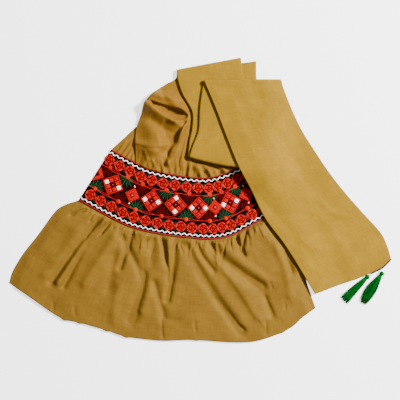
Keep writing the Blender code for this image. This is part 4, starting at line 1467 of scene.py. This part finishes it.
def stitch_lines(stitches):
    """The thin lines between the rows, and the maroon threads over the black ground."""
    along = np.linspace(0.0, 1.0, 90)
    for across in DIVIDING_LINES:
        wave = 0.008 * np.sin(2 * math.pi * along * 9.0)
        stitches.run("red", on_band(along, across + wave), 0.8, 0.7)
        stitches.run("pink", on_band(along, across + 0.012 - wave), 0.45, 0.8)
    for k in range(GROUND_THREADS):
        share = (k + 0.5) / GROUND_THREADS
        low = 0.31 if k % 2 else 0.50
        ends = on_band(np.array([share, share + 0.004]), np.array([low, low + 0.18]))
        stitches.leaf("maroon", ends[0], ends[1], 1.3, 0.4)


def braid(name, upper, surface):
    """The white wave braid along one edge of the band."""
    edge = band_edges(upper)[0]
    length = lengths(through(edge, np.linspace(0.0, len(edge) - 1.0, 200)))[-1]
    waves = round(length / BRAID_PITCH)
    line, normal = band_line(BRAID_INSET, upper, waves * BRAID_STEPS + 1)
    turn = 2 * math.pi * np.arange(len(line)) / BRAID_STEPS
    swing = BRAID_SWING * np.cos(turn) + BRAID_PEAK * np.cos(3 * turn)
    path = line + swing[:, None] * normal
    stitches = Stitches()
    stitches.run("white", path, BRAID_HALF_WIDTH, BRAID_RISE, BAND_THICK + 0.05)
    return add_part(name, joined_parts(stitches.parts["white"]), surface)


def line_axes(points):
    """Directions to the side of a line and up from it, at each of its points."""
    tangent = units(np.gradient(points, axis=0))
    side = units(np.cross(tangent, UP))
    return side, np.cross(side, tangent)


def tube(points, radius, sides=8):
    """Vertices, faces and flat coordinates of a closed tube through the points."""
    radii = np.broadcast_to(np.asarray(radius, float), len(points))
    side, up = line_axes(points)
    travelled = lengths(points)
    vertices, flat = [], []
    for k, point in enumerate(points):
        for n in range(sides):
            angle = 2 * math.pi * n / sides
            offset = side[k] * math.cos(angle) + up[k] * math.sin(angle)
            vertices.append(point + offset * radii[k])
            flat.append((n / sides, travelled[k] * MM))
    faces = grid_faces(len(points), sides, around=True)
    faces.append(tuple(range(sides))[::-1])
    faces.append(tuple((len(points) - 1) * sides + n for n in range(sides)))
    return vertices, faces, flat


def piping(name, upper, surface):
    line = band_line(PIPING_INSET, upper, 240)[0]
    height = np.full(len(line), BAND_THICK + TRIM_GAP + PIPING_RADIUS)
    return add_part(name, tube(np.column_stack([line, height]), PIPING_RADIUS, 10), surface)


def far_edge(line, share_from, count, offset):
    """Points just off the top layer's edge at the far end, from a share of its width to its corner."""
    rows = line[: LAST_COUNTS[0] + 1, 1:4]
    last = len(rows) - 1
    points = through(rows, np.linspace(share_from * last, last, count))
    points[:, :2] -= offset * normals(points[:, :2])
    return points


def twisted_cord(name, path, surface):
    """Two strands wound round each other."""
    line = through(path, np.linspace(0.0, len(path) - 1.0, 160))
    side, up = line_axes(line)
    parts = []
    for phase in (0.0, math.pi):
        angle = 2 * math.pi * lengths(line) / CORD_TURN + phase
        strand = line + CORD_OFFSET * (side * np.cos(angle)[:, None] + up * np.sin(angle)[:, None])
        parts.append(tube(strand, CORD_STRAND_RADIUS, 7))
    return add_part(name, joined_parts(parts), surface)


def tassel(name, head, tip, middle_width, tip_width, cord_line, surface, loop_surface):
    """A bound head with fine threads that come down to lie on the table, and its two loops."""
    along = np.append(units(tip - head), 0.0)
    across = np.array([-along[1], along[0], 0.0])
    start = np.append(head, 0.0)
    reach = np.linalg.norm(tip - head) - THREAD_ROOT
    widths = ((BUNDLE_WIDE,), (middle_width / 2,), (tip_width / 2,))
    parts = tassel_threads(start + THREAD_ROOT * along, along * reach, across, widths, SEED + len(name))
    parts.append(tassel_head(start, along, across))
    for past in BINDINGS:
        angle = np.linspace(0.0, 2 * math.pi, 25)
        centre = start + past * along + UP * BINDING_HEIGHT
        ring = across * np.cos(angle)[:, None] + UP * 0.94 * np.sin(angle)[:, None]
        parts.append(ring_tube(centre + BINDING_RADIUS * ring, along, 0.5))
    nearest_place = cord_line[np.argmin(np.linalg.norm(cord_line[:, :2] - head[:2], axis=1))]
    neck = start - NECK_BACK * along + UP * NECK_HEIGHT
    loops = []
    for side in (-1.0, 1.0):
        bulge = (neck + nearest_place) / 2 + across * side * LOOP_WIDE
        path = through(np.array([neck, bulge, nearest_place]), np.linspace(0, 2, 14))
        loops.append(tube(path, LOOP_RADIUS, 6))
    made = add_part(name + "_threads", joined_parts(parts), surface)
    return made, add_part(name + "_loop", joined_parts(loops), loop_surface)


def tassel_threads(root, run, across, widths, seed):
    """Fine threads that spread out from a round bundle as they come down, each cut unevenly."""
    rng = np.random.default_rng(seed)
    parts = []
    for k in range(THREADS):
        radius = math.sqrt((k + 0.5) / THREADS)
        wide, high = radius * math.cos(GOLDEN_ANGLE * k), radius * math.sin(GOLDEN_ANGLE * k)
        cut = 1.0 - 0.14 * rng.random() ** 2 - 0.02 * abs(wide)
        drift = rng.normal(0.0, 0.9)
        sag = rng.uniform(0.8, 1.2)
        steps = np.linspace(0.0, cut, 9)
        half = through(widths, 2 * steps)[:, 0] * wide + drift * steps**2
        tall = fading(BUNDLE_HALF_HEIGHT, steps * 1.15)
        z = np.maximum(fading(BUNDLE_CENTRE, steps * 1.3) + tall * high * sag, THREAD_LOWEST)
        wave = 0.5 * np.sin(steps * rng.uniform(4.0, 8.0) + rng.uniform(0.0, 6.0)) * steps
        line = root + run * steps[:, None] + across * (half + wave)[:, None]
        line[:, 2] = z
        radii = np.append(np.full(len(line) - 1, THREAD_RADIUS), THREAD_END_RADIUS)
        vertices, faces, flat = tube(line, radii, 4)
        parts.append((vertices, faces, [(u + 0.37 * k, v) for u, v in flat]))
    return parts


def fading(values, share):
    """A smooth change from the first value to the second."""
    return values[0] * (1.0 - smooth(share)) + values[1] * smooth(share)


def tassel_head(start, along, across):
    """The turned knob of a tassel, with fine ridges along it."""
    points, flat = [], []
    for past, half_width, half_height, height in HEAD_RINGS:
        centre = start + past * along + UP * height
        for n in range(HEAD_SIDES):
            angle = 2 * math.pi * n / HEAD_SIDES
            ridge = 1.0 + HEAD_RIDGE * math.cos(HEAD_RIDGES * angle)
            offset = across * half_width * math.cos(angle) + UP * half_height * math.sin(angle)
            points.append(centre + offset * ridge)
            flat.append((n / HEAD_SIDES, past * MM))
    return points, grid_faces(len(HEAD_RINGS), HEAD_SIDES, around=True), flat


def ring_tube(loop, axis, radius, sides=6):
    """A closed ring of thread whose line turns round this axis."""
    centre = loop[:-1].mean(axis=0)
    points, flat = [], []
    count = len(loop) - 1
    for k in range(count):
        out = units(loop[k] - centre)
        for n in range(sides):
            angle = 2 * math.pi * n / sides
            points.append(loop[k] + radius * (out * math.cos(angle) + axis * math.sin(angle)))
            flat.append((n / sides, k / count * 0.02))
    return points, grid_faces(count, sides, around=True, closed=True), flat


class Nodes:
    """A material's node tree, with short ways to add and join its nodes."""

    def __init__(self, name):
        self.material = bpy.data.materials.new(name)
        self.material.use_nodes = True
        self.tree = self.material.node_tree
        self.shader = self.tree.nodes["Principled BSDF"]
        self.settings({"Metallic": 0.0})

    def settings(self, values):
        for name, value in values.items():
            self.shader.inputs[name].default_value = value

    def add(self, kind, **values):
        node = self.tree.nodes.new(kind)
        for key, value in values.items():
            setattr(node, key, value)
        return node

    def join(self, start, end):
        self.tree.links.new(start, end)

    def stretched_noise(self, scales, scale):
        """Noise over the flat cloth, stretched along one thread direction."""
        place = self.add("ShaderNodeUVMap")
        mapping = self.add("ShaderNodeMapping")
        mapping.inputs["Scale"].default_value = (*scales, 1.0)
        self.join(place.outputs[0], mapping.inputs["Vector"])
        noise = self.add("ShaderNodeTexNoise")
        noise.inputs["Scale"].default_value = scale
        noise.inputs["Detail"].default_value = 3.0
        self.join(mapping.outputs[0], noise.inputs["Vector"])
        return noise.outputs["Fac"]

    def threads(self, direction, scale, distortion):
        """Fine parallel threads over the flat cloth."""
        place = self.add("ShaderNodeUVMap")
        wave = self.add("ShaderNodeTexWave", bands_direction=direction)
        wave.inputs["Scale"].default_value = scale
        wave.inputs["Distortion"].default_value = distortion
        self.join(place.outputs[0], wave.inputs["Vector"])
        return wave.outputs["Fac"]

    def ramp(self, factor, stops):
        ramp = self.add("ShaderNodeValToRGB")
        elements = ramp.color_ramp.elements
        elements[0].position, elements[1].position = stops[0][0], stops[-1][0]
        elements[0].color = (*stops[0][1], 1.0)
        elements[1].color = (*stops[-1][1], 1.0)
        for position, colour in stops[1:-1]:
            made = elements.new(position)
            made.color = (*colour, 1.0)
        self.join(factor, ramp.inputs[0])
        return ramp.outputs[0]

    def multiplied(self, first, second):
        mix = self.add("ShaderNodeMixRGB", blend_type="MULTIPLY")
        mix.inputs[0].default_value = 1.0
        self.join(first, mix.inputs[1])
        self.join(second, mix.inputs[2])
        return mix.outputs[0]

    def bump(self, heights):
        """A bump from pairs of (height, strength, distance), one on another."""
        previous = None
        for height, strength, distance in heights:
            bump = self.add("ShaderNodeBump")
            bump.inputs["Strength"].default_value = strength
            bump.inputs["Distance"].default_value = distance
            self.join(height, bump.inputs["Height"])
            if previous:
                self.join(previous, bump.inputs["Normal"])
            previous = bump.outputs[0]
        self.join(previous, self.shader.inputs["Normal"])


def shade(colour, amount):
    return tuple(min(channel * amount, 1.0) for channel in colour)


def cloth_material(name, colour, near=PLAIN):
    """A soft satin weave with slubs along and across it, with painted shade darkening it near the band.
    """
    nodes = Nodes(name)
    total = nodes.add("ShaderNodeMath", operation="ADD")
    for place, scales in enumerate(((1.0, 0.07), (0.07, 1.0))):
        nodes.join(nodes.stretched_noise(scales, SLUB_SCALE), total.inputs[place])
    slubs = nodes.add("ShaderNodeMath", operation="MULTIPLY")
    slubs.inputs[1].default_value = 0.5
    nodes.join(total.outputs[0], slubs.inputs[0])
    tone = nodes.ramp(slubs.outputs[0], ((0.35, shade(colour, 0.82)), (0.65, shade(colour, 1.14))))
    slow = nodes.stretched_noise((1.0, 1.0), 16.0)
    tone = nodes.multiplied(tone, nodes.ramp(slow, ((0.3, (0.90, 0.88, 0.85)), (0.7, (1.06, 1.05, 1.0)))))
    flat = nodes.add("ShaderNodeSeparateXYZ")
    nodes.join(nodes.add("ShaderNodeUVMap").outputs[0], flat.inputs[0])
    # Painted shade: the colour is multiplied by near up to the first place along the cloth, fading out by
    # the second
    tone = nodes.multiplied(tone, nodes.ramp(flat.outputs[1], tuple(zip(PAINTED_SHADE_FADE, (near, PLAIN)))))
    hem = ((0.0, PLAIN), (HEM_STITCHES - HEM_STITCH_WIDE, PLAIN), (HEM_STITCHES, HEM_LINE))
    hem += ((HEM_STITCHES + HEM_STITCH_WIDE, PLAIN),)
    tone = nodes.multiplied(tone, nodes.ramp(flat.outputs[0], hem))
    nodes.join(tone, nodes.shader.inputs["Base Color"])
    weave, weft = (nodes.threads(direction, WEAVE_SCALE, 0.4) for direction in "XY")
    nodes.bump(((slubs.outputs[0], 0.25, 0.0004), (weave, 0.12, 0.0001), (weft, 0.12, 0.0001)))
    nodes.settings(
        {
            "Roughness": 0.62,
            "Specular IOR Level": 0.12,
            "Specular Tint": (1.0, 0.7, 0.3, 1.0),
            "Sheen Weight": 0.03,
            "Sheen Roughness": 0.45,
            "Sheen Tint": (1.0, 0.7, 0.25, 1.0),
        }
    )
    return nodes.material


def thread_material(name, colour, roughness, ribs, depth, sheen=0.2):
    """Stitches or threads in one colour, with the fine ribs of the thread."""
    nodes = Nodes(name)
    noise = nodes.stretched_noise((1.0, 1.0), 260.0)
    tone = nodes.ramp(noise, ((0.3, shade(colour, 0.72)), (0.7, shade(colour, 1.2))))
    nodes.join(tone, nodes.shader.inputs["Base Color"])
    nodes.bump(((nodes.threads("Y", ribs, 1.0), depth, 0.0003),))
    nodes.settings({"Roughness": roughness, "Specular IOR Level": 0.02, "Sheen Weight": sheen})
    return nodes.material


def floor_and_light():
    nodes = Nodes("Pale floor")
    nodes.settings(
        {
            "Base Color": (0.92, 0.92, 0.92, 1.0),
            "Roughness": 0.9,
            "Specular IOR Level": 0.1,
            "Emission Color": (1.0, 1.0, 1.0, 1.0),
            "Emission Strength": 1.5,
        }
    )
    points = [(FLOOR_HALF * x, FLOOR_HALF * y, FLOOR_HEIGHT) for x, y in CORNERS]
    add_mesh("floor", points, [(0, 1, 2, 3)], nodes.material, None, False)
    world = bpy.data.worlds.new("Soft room")
    world.use_nodes = True
    background = world.node_tree.nodes["Background"]
    background.inputs["Color"].default_value = (1.0, 1.0, 1.0, 1.0)
    background.inputs["Strength"].default_value = 0.34
    bpy.context.scene.world = world
    for name, place, power, side in LIGHTS:
        data = bpy.data.lights.new(name, "AREA")
        data.energy = power
        data.size = side
        light = bpy.data.objects.new(name, data)
        light.location = place
        light.rotation_euler = (-Vector(place)).to_track_quat("-Z", "Y").to_euler()
        bpy.context.scene.collection.objects.link(light)


def add_camera():
    data = bpy.data.cameras.new("Camera")
    data.lens = 85.0
    data.sensor_width = 36.0
    camera = bpy.data.objects.new("Camera", data)
    camera.location = (-0.0006, 0.00034, 2.361)
    bpy.context.scene.collection.objects.link(camera)
    bpy.context.scene.camera = camera


def main():
    # The body cloth carries painted shade over its first pass near the band
    cloth = cloth_material("Mustard satin", GOLD, PUFF_PAINTED_SHADE)
    body, far_end = body_sheet(cloth)
    put_on(body, "cloth", "shawl_body")
    # The ruffle's cloth is a darker copy of the body's: painted shade
    ruffle = put_on(ruffle_sheet(cloth_material("Ruffle satin", RUFFLE_SHADED_GOLD)), "cloth", "ruffle")
    ground = thread_material("Black ground", BLACK, 0.8, 120.0, 0.3, 0.0)
    band = put_on(band_sheet(ground), "embroidered_ground", "embroidered_band")
    surfaces = {
        colour: thread_material("Stitches " + colour, value, 0.5, 170.0, 0.6, 0.0)
        for colour, value in STITCH_COLOURS.items()
    }
    stitches = Stitches()
    stitch_lines(stitches)
    stitch_rows(stitches)
    stitch_fans(stitches)
    stitch_centre(stitches)
    trims = stitches.build(surfaces)
    white = thread_material("Braid white", BRAID_WHITE, 0.75, 150.0, 0.6)
    red = thread_material("Piping red", PIPING_RED, 0.65, 150.0, 0.6)
    for name, upper in (("upper", True), ("lower", False)):
        trims.append(put_on(braid("braid_" + name, upper, white), "braid", "ricrac_" + name))
        trims.append(put_on(piping("cord_piping_" + name, upper, red), "piping", "piping_" + name))
    black = thread_material("Cord black", CORD_BLACK, 0.6, 150.0, 0.5)
    cord_line = far_edge(far_end, CORD_FROM, 40, CORD_RADIUS + CORD_GAP)
    put_on(twisted_cord("far_cord", cord_line, black), "cord", "end_cord")
    green = thread_material("Tassel green", TASSEL_GREEN, 0.5, 150.0, 0.3, 0.0)
    grey = thread_material("Loop thread", LOOP_GREY, 0.7, 150.0, 0.3)
    for name, head_x, head_y, tip_x, tip_y, middle_width, tip_width in TASSELS:
        head, tip = np.array([head_x, head_y]), np.array([tip_x, tip_y])
        threads, loop = tassel(name, head, tip, middle_width, tip_width, cord_line, green, grey)
        put_on(threads, "tassel_thread", name)
        put_on(loop, "tassel_thread")
    floor_and_light()
    add_camera()


main()
